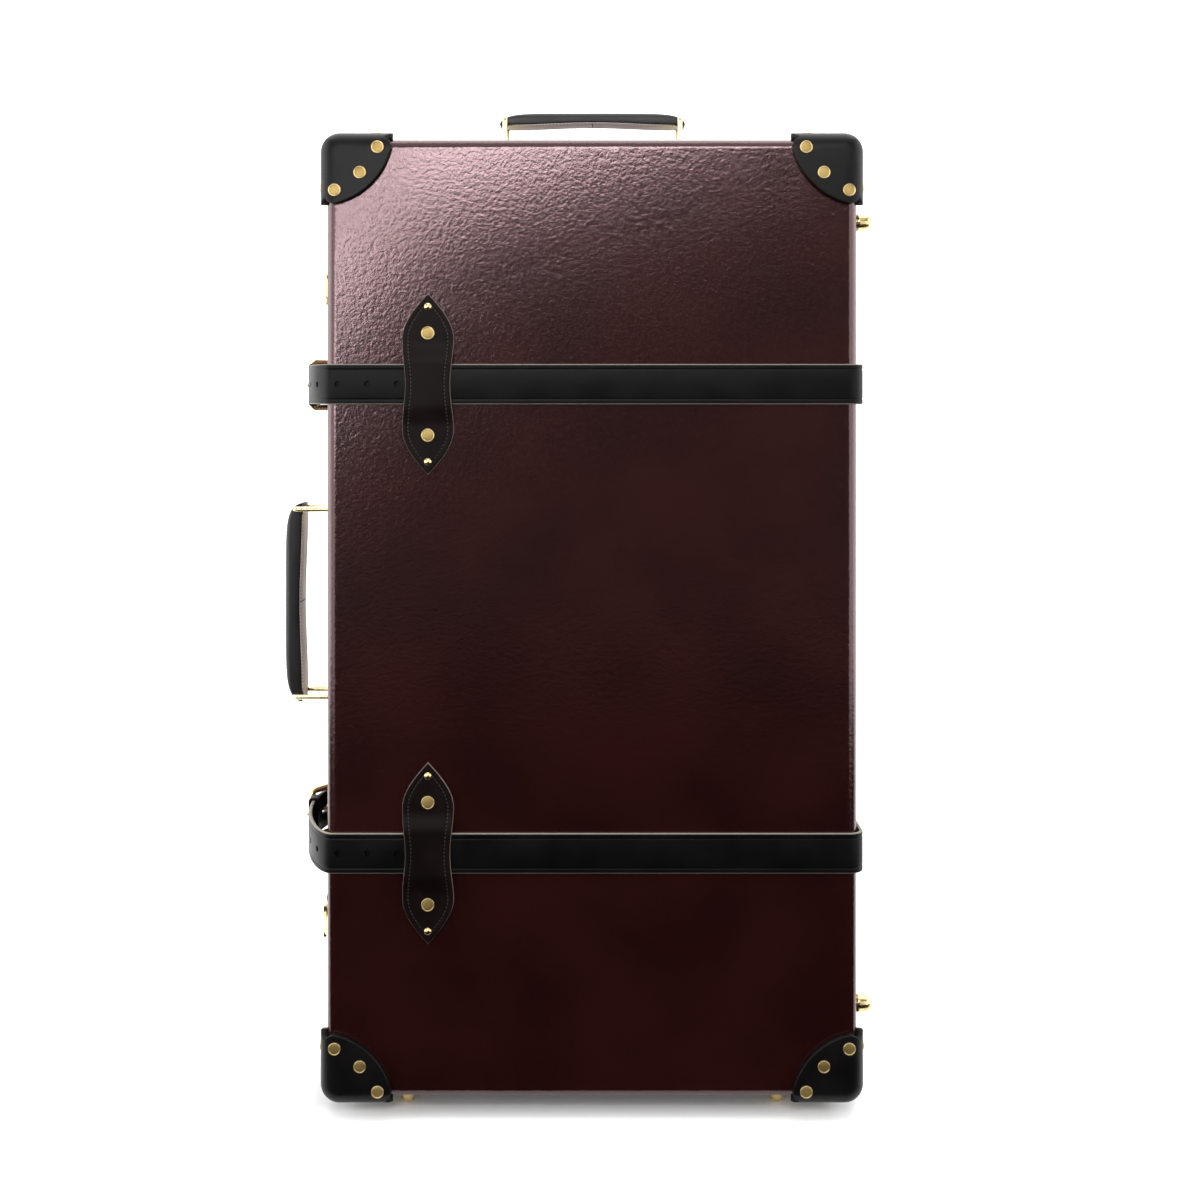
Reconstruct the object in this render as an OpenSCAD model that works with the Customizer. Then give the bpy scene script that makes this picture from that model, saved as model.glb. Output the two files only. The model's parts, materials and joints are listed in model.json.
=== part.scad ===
/* [Case] */
// Width of the case across its front
case_w = 422; // [390:2:460]
// Height of the case without feet
case_h = 762; // [720:2:800]
// Depth of the closed case, front face to back face
case_d = 220; // [212:2:260]
// Depth of the lid, front face to seam
lid_d = 72; // [70:1:80]
// Thickness of the fibreboard
board_t = 3; // [2.5:0.1:3.4]
// Corner radius seen from the front
corner_r = 10; // [9:0.5:12]
// Radius of the edge round the front and back faces
edge_r = 7; // [6.5:0.5:8]
// Gap between lid and base when closed
seam_gap = 0.4; // [0.3:0.1:0.8]

/* [Inside] */
// Thickness of the cloth lining
lining_t = 1.2; // [0.8:0.1:1.6]
// Thickness of the inner rim that guides the lid
rim_t = 1.6; // [1.2:0.1:2]
// How far the inner rim stands into the lid
rim_out = 12; // [8:1:16]
// How far the inner rim reaches into the base
rim_in = 8; // [5:0.5:8]
// Side gap between the inner rim and the lid
rim_gap = 1; // [0.8:0.1:1.5]

/* [Leather corners] */
// Thickness of the corner leather
corner_t = 5.5; // [4:0.5:6]
// Reach of a leather corner from its outermost point
corner_reach = 59; // [57:1:63]
// Diameter of the flat rivet heads on the corners
rivet_d = 10; // [8:0.5:11]
// Height of a flat rivet head
rivet_h = 1.2; // [1:0.1:1.6]
// Distance of the middle rivet from the outermost point, each way
rivet_mid = 33; // [30:1:35]
// Long and short distances of the two outer rivets
rivet_far = 47; // [44:1:48]
rivet_near = 13; // [12:0.5:15]
// Distances of the two rivets on each side wall
wall_rivet_far = 43; // [42:1:46]
wall_rivet_near = 19; // [18:1:22]

/* [Straps] */
// Width of a strap
strap_w = 32; // [28:1:36]
// Thickness of a strap
strap_t = 3; // [2.5:0.1:3.4]
// Distance of the straps' middle lines from the case's top and bottom
strap_inset = 195; // [185:1:201]
// How far a strap stands off the side walls
strap_off = 2.5; // [2:0.1:3]
// Diameter of the punched holes
hole_d = 5; // [4:0.5:6]
// Spacing of the punched holes
hole_gap = 23.5; // [20:0.5:26]
// Length of strap that bends over the hinge
hinge_bend_l = 40; // [30:1:44]

/* [Strap loops] */
// Length of a spindle-shaped loop
loop_l = 144; // [136:1:150]
// Width of a loop at its widest
loop_w = 40; // [38:1:46]
// Width of a loop at its waist
loop_waist = 34.5; // [32:0.5:36]
// Thickness of the loop leather
loop_t = 2.6; // [2:0.1:3]
// Distance of the loops' middle from the case's left side
loop_inset = 81; // [75:1:87]
// Diameter and place of the flat rivets on a loop
loop_rivet_d = 10.6; // [9:0.2:12]
loop_rivet_z = 40.5; // [38:0.5:44]
// Diameter and place of the small domed nails on a loop
nail_d = 6; // [5:0.5:7]
nail_z = 62; // [60:0.5:63]

/* [Buckles] */
// Thickness of the buckle's metal
buckle_t = 4.4; // [3.6:0.2:4.6]
// Width of the buckle's side bars
buckle_side = 5.2; // [4.6:0.2:6]
// Distance from heel bar to front bar
buckle_l = 32; // [31:0.5:33]
// Tilt of the buckle off the side wall
buckle_tilt = 34; // [33:0.5:35]
// Depth of the heel bar behind the front face
heel_y = 136; // [135:0.5:137]
// Height of the heel bar off the side wall
heel_h = 14; // [13.6:0.1:14.1]
// Diameter of the heel bar
heel_d = 4; // [3.6:0.1:4.2]
// Thickness of a keeper
keeper_t = 2; // [1.6:0.1:2.2]
// Width of a keeper
keeper_w = 13; // [10:0.5:14]

/* [Handles] */
// Diameter of the brass wire
wire_d = 4.5; // [4:0.1:4.8]
// Spacing of the two legs of a wire loop
leg_gap = 34; // [34:0.5:37]
// Depth of the handles' middle behind the front face
handle_y = 104; // [103:1:112]
// Width of a grip
grip_w = 28; // [26:0.5:28]
// Spacing of the wire loops on the side and top handle
side_span = 160; // [150:1:170]
top_span = 149; // [140:1:156]
// Thickness of the grip on the side and top handle
side_grip_t = 16; // [15:0.5:18]
top_grip_t = 14; // [12.5:0.5:15]
// Height of the wire loops' outer bars when pulled out and when half out
loop_out = 43; // [42:1:46]
loop_half = 33; // [32:0.5:34]

/* [Locks] */
// Distance of the locks' middles from the case's top and bottom
lock_inset = 114; // [109:1:125]
// Length of a lock
lock_l = 52; // [46:1:56]
// Height of a lock off the wall
lock_h = 13; // [12:0.5:14]

/* [Hinges] */
// Distance of the outer hinges' middles from the case's top and bottom
hinge_inset = 117; // [113:1:131]
// Length of a hinge
hinge_l = 60; // [50:1:70]
// Radius of a hinge barrel
barrel_r = 4; // [3.5:0.1:4.2]
// Radius of a hinge pin
pin_r = 1.8; // [1.5:0.1:2]

/* [Feet and wheels] */
// Height of a domed foot
foot_h = 17; // [15:0.5:18]
// Diameter of a domed foot
foot_d = 17; // [15:0.5:19]
// Depth of the feet behind the front face
foot_y = 31; // [28:1:36]
// Distance of the bottom feet from the case's sides
foot_side_inset = 61; // [59:1:71]
// Distance of the side feet from the case's top and bottom
foot_end_inset = 63; // [61:1:67]
// Diameter of a wheel
wheel_d = 50; // [48:0.5:52]
// Width of a wheel
wheel_w = 20; // [18:0.5:22]
// Thickness of the tyre
tyre_t = 4; // [3:0.5:5]
// Distance of a wheel's centre from the back face
wheel_in = 22; // [21:0.5:23]
// Radius of a wheel's axle
axle_r = 3; // [2.5:0.1:3.5]

/* [Hidden] */

board_colour = [0.24, 0.09, 0.10];
leather_colour = [0.12, 0.12, 0.12];
brass_colour = [0.85, 0.68, 0.32];
cloth_colour = [0.55, 0.45, 0.35];
plastic_colour = [0.08, 0.08, 0.09];
rubber_colour = [0.15, 0.15, 0.15];

// Roundness of the hulled trays and of the exact rounds
tray_fn = 28;
round_fn = 48;
hole_fn = 24;
curve_steps = 12;
// How far a cut runs past the faces it opens, and how far shapes of one solid run together
past = 1;
joined = 0.1;
// Running clearance of a pin in its hole, and clearance between moving pieces
run = 0.05;
clear = 0.3;

// Gap between a lining's edge and the inner rim
lining_gap = 2;

half_w = case_w / 2;
half_h = case_h / 2;
case_z = foot_h + half_h;
wall_x = -half_w;
strap_z = half_h - strap_inset;
loop_x = half_w - loop_inset;
lock_z = half_h - lock_inset;
hinge_z = half_h - hinge_inset;
foot_x = half_w - foot_side_inset;
foot_z = half_h - foot_end_inset;

// Leather between a grip's inner face and the wire's middle
grip_core = wire_d / 2 + 3.2;

// What reaches furthest left, right, front and back, and the shift to the middle
loop_rise = strap_t + clear;
front_out = loop_rise + loop_t;
reach_left = loop_out + side_grip_t - grip_core;
reach_right = foot_h;
shift_x = (reach_left - reach_right) / 2;
shift_y = -case_d / 2;

function heads() = [-1, 1];

// The design stands on Z = 0 with its front face at Y = 0, and is moved to the middle here
module place() {
    translate([shift_x, shift_y, 0]) children();
}

// Local X and Y become the case's X and Z, and local Z the depth behind the front face
module from_front() {
    translate([0, 0, case_z]) mirror([0, 1, 0]) rotate([90, 0, 0]) children();
}

// The same from the back face, with local Z pointing forward
module from_back() {
    translate([0, case_d, case_z]) rotate([90, 0, 0]) children();
}

// Local Z points out of the left wall, local X is the depth and local Y points up
module on_left(y, z) {
    translate([wall_x, y, case_z + z]) rotate([0, 0, 90]) rotate([90, 0, 0]) mirror([0, 0, 1])
        children();
}

// Local Z points out of the right wall, local X is the depth and local Y points up
module on_right(y, z) {
    translate([half_w, y, case_z + z]) rotate([0, 0, 90]) rotate([90, 0, 0]) children();
}

// Plane shapes drawn in X and depth, extruded by a height centred on z
module slab_z(z, height) {
    translate([0, 0, case_z + z - height / 2]) linear_extrude(height) children();
}

// A rectangle with round corners, made of exact squares and circles
module soft_rect(w, h, r) {
    square([w - 2 * r, h], center = true);
    square([w, h - 2 * r], center = true);
    for (x = heads(), y = heads())
        translate([x * (w / 2 - r), y * (h / 2 - r)]) circle(r, $fn = round_fn);
}

function arc(cx, cy, r, from, to, n = 8) =
    [for (i = [0:n]) let (a = from + (to - from) * i / n) [cx + r * cos(a), cy + r * sin(a)]];

// A tray without its hollow: the face lies at Z = 0, with its edge rounded
module tray_solid(w, h, d, r, e) {
    hull() for (x = heads(), y = heads())
        translate([x * (w / 2 - r), y * (h / 2 - r), 0])
            rotate_extrude($fn = tray_fn)
                polygon(concat([[0, 0]], arc(r - e, e, e, -90, 0), [[r, d], [0, d]]));
}

// The case's outer form, grown or shrunk by g
module grown_tray(d, g) {
    translate([0, 0, -g])
        tray_solid(case_w + 2 * g, case_h + 2 * g, d + g, corner_r + g, edge_r + g);
}

module tray(d, from, to) {
    difference() {
        grown_tray(d, from);
        grown_tray(d + past, to);
    }
}

base_d = case_d - lid_d - seam_gap;

module lid_shell() {
    color(board_colour) from_front() tray(lid_d, 0, -board_t);
}

// The corner of the base that a wheel housing takes
housing_w = 52;
housing_d = 56;
housing_h = 58;
housing_over = 40;
module housing_space(side) {
    translate([side * (half_w - (housing_w - housing_over) / 2),
            case_d - (housing_d - housing_over) / 2, foot_h + (housing_h - housing_over) / 2])
        cube([housing_w + housing_over, housing_d + housing_over, housing_h + housing_over],
            center = true);
}

module base_shell() {
    color(board_colour) difference() {
        from_back() tray(base_d, 0, -board_t);
        for (side = heads()) housing_space(side);
        handle_holes();
    }
}

// Inner rim: a band that stands out of the base and guides the lid
module base_rim() {
    color(cloth_colour) from_front() difference() {
        union() {
            translate([0, 0, lid_d - rim_out]) linear_extrude(rim_out + rim_in)
                rim_outline(-board_t - rim_gap);
            translate([0, 0, lid_d + seam_gap]) linear_extrude(rim_in - seam_gap)
                rim_outline(-board_t);
        }
        translate([0, 0, lid_d - rim_out - past]) linear_extrude(rim_out + rim_in + 2 * past)
            rim_outline(-board_t - rim_gap - rim_t);
    }
}

// Follows the flats of the tray's corners, so that the rim lies against the board all round
module rim_outline(g) {
    x = half_w - corner_r;
    y = half_h - corner_r;
    n = tray_fn / 4;
    polygon(concat(arc(x, y, corner_r + g, 0, 90, n), arc(-x, y, corner_r + g, 90, 180, n),
        arc(-x, -y, corner_r + g, 180, 270, n), arc(x, -y, corner_r + g, 270, 360, n)));
}

module lid_lining() {
    color(cloth_colour) from_front() difference() {
        grown_tray(lid_d - rim_out - lining_gap, -board_t);
        grown_tray(lid_d, -board_t - lining_t);
    }
}

module base_lining() {
    color(cloth_colour) difference() {
        from_back() difference() {
            grown_tray(base_d - rim_in - lining_gap, -board_t);
            grown_tray(base_d, -board_t - lining_t);
        }
        for (side = heads()) housing_space(side);
        handle_holes();
    }
}

// Leather corners: the part of a thicker tray that lies inside a ball round the outermost point
module leather_corner(d, side, up) {
    color(leather_colour) intersection() {
        tray(d, corner_t, 0);
        outermost(side, up) sphere(corner_reach, $fn = 2 * tray_fn);
    }
}

module outermost(side, up) {
    translate([side * (half_w + corner_t), up * (half_h + corner_t), -corner_t]) children();
}

module flat_rivet(d) {
    rotate_extrude($fn = round_fn)
        polygon([[0, 0], [d / 2, 0], [d / 2, rivet_h / 2], [d / 2 - rivet_h / 2, rivet_h], [0, rivet_h]]);
}

// The rivets of one corner: three on the face, two on each side wall
module corner_rivets(side, up) {
    face = [[rivet_far, rivet_near], [rivet_mid, rivet_mid], [rivet_near, rivet_far]];
    wall = [[wall_rivet_far, wall_rivet_near], [wall_rivet_near, wall_rivet_far]];
    outermost(side, up) {
        for (p = face)
            translate([-side * p[0], -up * p[1], 0]) mirror([0, 0, 1]) flat_rivet(rivet_d);
        for (p = wall) {
            translate([0, -up * p[0], p[1]]) rotate([0, side * 90, 0]) flat_rivet(rivet_d);
            translate([-side * p[0], 0, p[1]]) rotate([-up * 90, 0, 0]) flat_rivet(rivet_d);
        }
    }
}

module lid_corner(side, up) {
    from_front() leather_corner(lid_d, side, up);
}

module base_corner(side, up) {
    from_back() leather_corner(base_d, side, up);
}

module lid_corner_rivets() {
    color(brass_colour) from_front() for (side = heads(), up = heads()) corner_rivets(side, up);
}

module base_corner_rivets() {
    color(brass_colour) from_back() for (side = heads()) corner_rivets(side, 1);
}

// Half the width of a spindle-shaped loop, t running from 0 at the waist to 1 at the tip
function spindle(t) = t <= 0.5
    ? (loop_waist + (loop_w - loop_waist) * (1 - cos(360 * t)) / 2) / 2
    : loop_w / 2 * cos(90 * (2 * t - 1));

spindle_steps = 16;
function spindle_side(side) =
    [for (i = [-spindle_steps:spindle_steps])
        let (t = i / spindle_steps) [side * spindle(abs(t)), t * loop_l / 2]];

// A strap loop lies on the face at its ends and bridges the strap at its waist
loop_clear = 1;
bridge = strap_w / 2 + loop_clear;
ramp = 8;
module strap_loop() {
    right = spindle_side(1);
    left = spindle_side(-1);
    under = [[-loop_l / 2, 0], [-bridge - ramp, 0], [-bridge, loop_rise],
        [bridge, loop_rise], [bridge + ramp, 0], [loop_l / 2, 0]];
    over = [for (i = [5:-1:0]) under[i] + [0, loop_t]];
    color(leather_colour) mirror([0, 0, 1]) intersection() {
        linear_extrude(front_out) polygon(concat(right, [for (i = [2 * spindle_steps:-1:0]) left[i]]));
        rotate([90, 0, 90]) translate([0, 0, -loop_w])
            linear_extrude(2 * loop_w) polygon(concat(under, over));
    }
}

module loop_rivets() {
    for (s = heads()) {
        translate([0, s * loop_rivet_z, -loop_t]) mirror([0, 0, 1]) flat_rivet(loop_rivet_d);
        translate([0, s * nail_z, -loop_t]) mirror([0, 0, 1]) nail_head();
    }
}

nail_steps = 6;
module nail_head() {
    rise = nail_d / 3;
    ball = (nail_d * nail_d / 4 + rise * rise) / (2 * rise);
    rotate_extrude($fn = round_fn)
        polygon(concat([[0, 0]], [for (i = [0:nail_steps])
            let (a = asin(nail_d / 2 / ball) * (1 - i / nail_steps))
            [ball * sin(a), ball * cos(a) - ball + rise]]));
}

module at_loop(up) {
    translate([-loop_x, up * strap_z, 0]) children();
}

module front_loop_rivets() {
    color(brass_colour) from_front() for (up = heads()) at_loop(up) loop_rivets();
}

module back_loop_rivets() {
    color(brass_colour) from_back() for (up = heads()) at_loop(up) loop_rivets();
}

// A line of points thickened to a flat band
function unit(v) = v / norm(v);
function across(p, i) =
    let (d = unit(p[min(i + 1, len(p) - 1)] - p[max(i - 1, 0)])) [-d[1], d[0]];
function band(p, t) = concat(
    [for (i = [0:len(p) - 1]) p[i] + across(p, i) * t / 2],
    [for (i = [len(p) - 1:-1:0]) p[i] - across(p, i) * t / 2]);
function bezier(a, b, c, d, n = curve_steps) = [for (i = [0:n]) let (t = i / n, u = 1 - t)
    u * u * u * a + 3 * u * u * t * b + 3 * u * t * t * c + t * t * t * d];
// A point by its height off the left wall and its depth
function off_left(h, y) = [-half_w - h, y];

// The straps' bends start a little past the start of the case's rounded edge
bend_late = 0.5;
bend_x = half_w - edge_r + bend_late;
strap_bend_r = edge_r + strap_off - bend_late;
bend_mid_r = strap_bend_r + strap_t / 2;
strap_x = half_w + strap_off + strap_t / 2;
bend_from = lid_d - hinge_bend_l / 2;
bend_to = lid_d + hinge_bend_l / 2;

module front_strap(up) {
    color(leather_colour) slab_z(up * strap_z, strap_w)
        polygon(band(concat([[-loop_x, -strap_t / 2]],
            arc(bend_x, strap_bend_r, bend_mid_r, -90, 0), [[strap_x, bend_from]]), strap_t));
}

module hinge_bend(up) {
    color(leather_colour) slab_z(up * strap_z, strap_w)
        polygon(band([[strap_x, bend_from], [strap_x, bend_to]], strap_t));
}

// The back strap runs round the back, up the left wall and round the buckle's heel bar
fold_r = heel_d / 2 + run + strap_t / 2;
chape_l = 44;
wall_h = strap_off + strap_t / 2;
function chape_h(y) =
    wall_h + (heel_h + fold_r - wall_h) * (1 + cos(180 * (y - heel_y) / chape_l)) / 2;
chape_steps = 11;
chape_line = [for (i = [chape_steps:-1:1]) let (y = heel_y + chape_l * i / chape_steps)
    off_left(chape_h(y), y)];
heel = off_left(heel_h, heel_y);
// The folded end lies under the chape and is sewn to it
return_from = 2;
return_l = 20;
return_steps = 3;
return_line = concat([off_left(heel_h - fold_r, heel_y)], [for (i = [1:return_steps])
    let (y = heel_y + return_from + return_l * i / return_steps)
        off_left(chape_h(y) - strap_t + joined, y)]);
prong_w = hole_d - 1;
// The slot in the fold that the prong's ring turns in
slot_front = 10;
slot_back = 7;
slot_w = 20;

module back_strap(up) {
    color(leather_colour) difference() {
        slab_z(up * strap_z, strap_w) difference() {
            union() {
                polygon(band(concat([[strap_x, bend_to]],
                    arc(bend_x, case_d - strap_bend_r, bend_mid_r, 0, 90),
                    arc(-bend_x, case_d - strap_bend_r, bend_mid_r, 90, 180),
                    chape_line, [off_left(heel_h + fold_r, heel_y)]), strap_t));
                translate(heel) circle(fold_r + strap_t / 2, $fn = round_fn);
                polygon(band(return_line, strap_t));
            }
            translate(heel) circle(heel_d / 2 + run, $fn = round_fn);
        }
        slab_z(up * strap_z, prong_w + 2 * clear)
            translate(heel - [slot_w / 2, slot_front]) square([slot_w, slot_front + slot_back]);
    }
}

// The tongue bows out from the front edge, passes under the front bar and over the heel bar
arch_rise = 13.9;
arch_y = 38;
leave_in = 5;
leave_out = 8;
arch_pull = [48, 20];
over_heel = [7.4, 4];
tip = [-2.5, 36];
tongue_top = off_left(heel_h + arch_rise, heel_y - arch_y);
tongue_out = bezier(off_left(-leave_in, -strap_t / 2), off_left(leave_out, -strap_t / 2),
    tongue_top - [0, arch_pull[0]], tongue_top);
tongue_back = bezier(tongue_top, tongue_top + [0, arch_pull[1]],
    off_left(heel_h + over_heel[0], heel_y + over_heel[1]),
    off_left(heel_h + tip[0], heel_y + tip[1]));
tongue_line = concat([[-loop_x, -strap_t / 2]], tongue_out,
    [for (i = [1:curve_steps]) tongue_back[i]]);

// Length along the tongue up to each point, and the place and direction at a given length
function lengths(p, i = 0, sum = 0) =
    i >= len(p) - 1 ? [sum] : concat([sum], lengths(p, i + 1, sum + norm(p[i + 1] - p[i])));
tongue_lengths = lengths(tongue_line);
function leg_at(s, i = 0) = s <= tongue_lengths[i + 1] ? i : leg_at(s, i + 1);
function point_at(s) = let (i = leg_at(s), a = tongue_line[i], b = tongue_line[i + 1])
    a + (b - a) * (s - tongue_lengths[i]) / norm(b - a);
function turn_at(s) = let (i = leg_at(s), d = tongue_line[i + 1] - tongue_line[i]) atan2(d[1], d[0]);

first_hole = 24.4;
hole_count = 7;
prong_slot_l = 15;
prong_slot_back = 50;
module tongue(up) {
    color(leather_colour) difference() {
        slab_z(up * strap_z, strap_w) polygon(band(tongue_line, strap_t));
        for (i = [0:hole_count - 1]) tongue_hole(up, first_hole + i * hole_gap, 0);
        tongue_hole(up, tongue_lengths[len(tongue_lengths) - 1] - prong_slot_back,
            prong_slot_l - hole_d);
    }
}

module tongue_hole(up, s, long) {
    p = point_at(s);
    translate([p[0], p[1], case_z + up * strap_z]) rotate([0, 0, turn_at(s)]) rotate([90, 0, 0])
        for (x = heads()) {
            translate([x * long / 2, 0, -strap_t])
                cylinder(2 * strap_t, d = hole_d, $fn = hole_fn);
            translate([-(long + joined) / 2, -hole_d / 2 + joined, -strap_t])
                cube([long + joined, hole_d - 2 * joined, 2 * strap_t]);
        }
}

// Keepers: bands round the tongue, drawn as a ring in height and width and extruded in depth
keeper_gap = 0.4;
keeper_side = strap_w / 2 + keeper_gap;
keeper_out_r = 3;
keeper_in_r = 1;
module keeper(up, low, high, y) {
    mid = (low + high) / 2;
    color(leather_colour) on_left(y - keeper_w / 2, up * strap_z)
        rotate([90, 0, 90]) translate([0, mid, 0]) linear_extrude(keeper_w) difference() {
            soft_rect(2 * keeper_side + 2 * keeper_t, high - low + 2 * keeper_t, keeper_out_r);
            soft_rect(2 * keeper_side, high - low, keeper_in_r);
        }
}

// Heights of their inner faces over the heel bar
loose_low = 9.7;
loose_high = 18.3;
module loose_keeper(up) {
    keeper(up, heel_h + loose_low, heel_h + loose_high, heel_y - arch_y);
}

fixed_low = -8.5;
fixed_high = 7.8;
fixed_y = 18;
module fixed_keeper(up) {
    keeper(up, heel_h + fixed_low, heel_h + fixed_high, heel_y + fixed_y);
}

// The buckle: a frame tilted off the wall, with its heel bar in the fold of the chape
front_bar = heel + buckle_l * [-sin(buckle_tilt), -cos(buckle_tilt)];
frame_gap = 1;
frame_in = strap_w / 2 + frame_gap;
frame_w = 2 * (frame_in + buckle_side);

module buckle(up) {
    color(brass_colour) {
        for (s = heads()) slab_z(up * strap_z + s * (frame_in + buckle_side / 2), buckle_side) {
            polygon(band([heel, front_bar], buckle_t));
            for (p = [heel, front_bar]) translate(p) circle(buckle_t / 2, $fn = round_fn);
        }
        slab_z(up * strap_z, frame_w) translate(front_bar) circle(buckle_t / 2, $fn = round_fn);
        slab_z(up * strap_z, frame_w) translate(heel) circle(heel_d / 2, $fn = round_fn);
    }
}

// The prong turns on the heel bar and rests on the front bar
prong_t = 2.6;
prong_wall = 1.6;
prong_lift = 0.4;
prong_root = [-1.5, -6];
prong_bow = [-4, 0.5];
prong_tip = [-0.4, -3];
prong_ring = heel_d / 2 + run + prong_wall;
over_front = front_bar
    + ((buckle_t + prong_t) / 2 + prong_lift) * [-cos(buckle_tilt), sin(buckle_tilt)];
prong_line = [heel + [-prong_ring + joined, 0], heel + [-prong_ring, 0] + prong_root,
    (heel + over_front) / 2 + prong_bow, over_front, over_front + prong_tip];
module prong(up) {
    color(brass_colour) {
        slab_z(up * strap_z, prong_w) difference() {
            union() {
                translate(heel) circle(prong_ring, $fn = round_fn);
                polygon(band(prong_line, prong_t));
            }
            translate(heel) circle(heel_d / 2 + run, $fn = round_fn);
        }
    }
}

// Locks: a case on the base, a hasp hinged on the lid that hooks in from the front and above
lock_from = lid_d + 6;
lock_w = 26;
lock_rim = 4;
lock_step = 1.5;
lock_r = 5;
plate_t = 2;
key_d = 8;
key_slot = [1.2, 5, 3];
mouth = [9, 12];
mouth_floor = 5;
button_w = 9;
button_in = 1;
button_r = 2;
button_low = 2.4;
button_top = 3.6;
button_y = 19;
button_z = lock_l / 2 - 13;
button_travel = 5;
button_foot = 4.4;
button_depth = 4;

module lock_case(up) {
    long = lock_l - 2 * lock_rim;
    color(brass_colour) on_left(lock_from, up * lock_z) difference() {
        translate([lock_w / 2, 0, 0]) {
            linear_extrude(plate_t) soft_rect(lock_w + 2 * lock_rim, lock_l, lock_r);
            linear_extrude(lock_h - lock_step) soft_rect(lock_w, long, lock_r - 1);
            linear_extrude(lock_h)
                soft_rect(lock_w - 2 * lock_step, long - 2 * lock_step, lock_r - 2);
            translate([button_y - lock_w / 2, 0, 0])
                cylinder(lock_h + lock_step, d = key_d, $fn = round_fn);
        }
        translate([-lock_rim - past, -mouth[1] / 2, mouth_floor])
            cube([mouth[0] + lock_rim + past, mouth[1], lock_h]);
        translate([button_y - key_slot[0] / 2, -key_slot[1] / 2, lock_h + lock_step - key_slot[2]])
            cube([key_slot[0], key_slot[1], lock_h]);
        translate([button_y - button_foot / 2 - clear, button_z - button_foot / 2 - clear,
                lock_h - button_depth])
            cube([button_foot + 2 * clear, button_foot + button_travel + 2 * clear, lock_h]);
    }
}

module lock_button(up) {
    color(brass_colour) on_left(lock_from + button_y, up * lock_z) translate([0, button_z, 0]) {
        translate([-button_foot / 2, -button_foot / 2, lock_h - button_depth + clear])
            cube([button_foot, button_foot, button_depth]);
        translate([0, 0, lock_h + clear]) {
            linear_extrude(button_low) soft_rect(button_w, button_w, button_r);
            linear_extrude(button_top)
                soft_rect(button_w - 2 * button_in, button_w - 2 * button_in, button_r - button_in / 2);
        }
    }
}

hasp_y = lid_d - 14;
hasp_r = 3.2;
hasp_h = hasp_r + plate_t + joined;
hasp_pin_r = 1.5;
hasp_t = 2.2;
hasp_w = 15;
arm_w = 26;
arm_gap = 0.7;
arm_h = lock_h + arm_gap + hasp_t / 2;
arm_rise = [3, -6];
arm_flat = 2;
arm_end = 11;
hook = [10, 3];
hook_y = 4;
hook_foot = 6;
mount = [22, 34];
mount_r = 3;
knuckle_z = 12;
knuckle_l = 8;
hasp_pin_l = 20;
hasp_axis = off_left(hasp_h, hasp_y);

module hasp_mounts() {
    color(brass_colour) for (up = heads()) {
        on_left(hasp_y, up * lock_z) linear_extrude(plate_t) soft_rect(mount[0], mount[1], mount_r);
        for (s = heads()) slab_z(up * lock_z + s * knuckle_z, knuckle_l) {
            translate(hasp_axis) circle(hasp_r, $fn = round_fn);
            translate(hasp_axis - [0, hasp_r]) square([hasp_h - plate_t / 2, 2 * hasp_r]);
        }
        slab_z(up * lock_z, hasp_pin_l) translate(hasp_axis) circle(hasp_pin_r, $fn = round_fn);
    }
}

module hasp(up) {
    arm = [hasp_axis + [-hasp_r + hasp_t / 2, 0], off_left(arm_h - arm_rise[0], lid_d + arm_rise[1]),
        off_left(arm_h, lid_d + arm_flat), off_left(arm_h, lock_from + arm_end)];
    color(brass_colour) {
        slab_z(up * lock_z, hasp_w) difference() {
            union() {
                translate(hasp_axis) circle(hasp_r, $fn = round_fn);
                polygon(band(arm, hasp_t));
            }
            translate(hasp_axis) circle(hasp_pin_r + run, $fn = round_fn);
        }
        slab_z(up * lock_z, arm_w) polygon(band([arm[2], arm[3]], hasp_t));
        slab_z(up * lock_z, hook[0]) polygon(band([off_left(hook_foot, lock_from + hook_y),
            off_left(arm_h, lock_from + hook_y)], hook[1]));
    }
}

// Hinges on the right wall, with the lid's barrel between the two of the base
barrel_gap = 0.4;
axis_x = half_w + barrel_r + barrel_gap;
axis_y = lid_d + seam_gap / 2;
hinge_places = [-hinge_z, 0, hinge_z];
barrel_l = hinge_l / 3;
leaf_t = 1.6;
leaf_w = 22;
leaf_gap = 1;
web_in = 0.5;
hinge_pin_out = 1;

module leaf(z, height, side, to) {
    slab_z(z, height) translate([half_w, side < 0 ? axis_y - leaf_w : axis_y + to])
        square([leaf_t, leaf_w - to]);
}

module barrel(z, height, hole) {
    slab_z(z, height) translate([axis_x, axis_y]) difference() {
        circle(barrel_r, $fn = round_fn);
        circle(hole, $fn = round_fn);
    }
}

module barrel_web(z, height, side) {
    slab_z(z, height) difference() {
        translate([half_w, side < 0 ? axis_y - leaf_w / 2 : axis_y + clear])
            square([leaf_t, leaf_w / 2 - clear]);
        translate([axis_x, axis_y]) circle(barrel_r - web_in, $fn = round_fn);
    }
}

module lid_hinge_leaves() {
    color(brass_colour) for (z = hinge_places) {
        leaf(z, hinge_l, -1, barrel_r + leaf_gap);
        barrel(z, barrel_l - clear, pin_r + run);
        barrel_web(z, barrel_l - clear, -1);
    }
}

module base_hinge_leaves() {
    color(brass_colour) for (z = hinge_places) {
        leaf(z, hinge_l, 1, barrel_r + leaf_gap);
        for (s = heads()) {
            barrel(z + s * barrel_l, barrel_l - clear, pin_r);
            barrel_web(z + s * barrel_l, barrel_l - clear, 1);
        }
    }
}

module hinge_pins() {
    color(brass_colour) for (z = hinge_places)
        slab_z(z, hinge_l + 2 * hinge_pin_out) translate([axis_x, axis_y]) circle(pin_r, $fn = round_fn);
}

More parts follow.
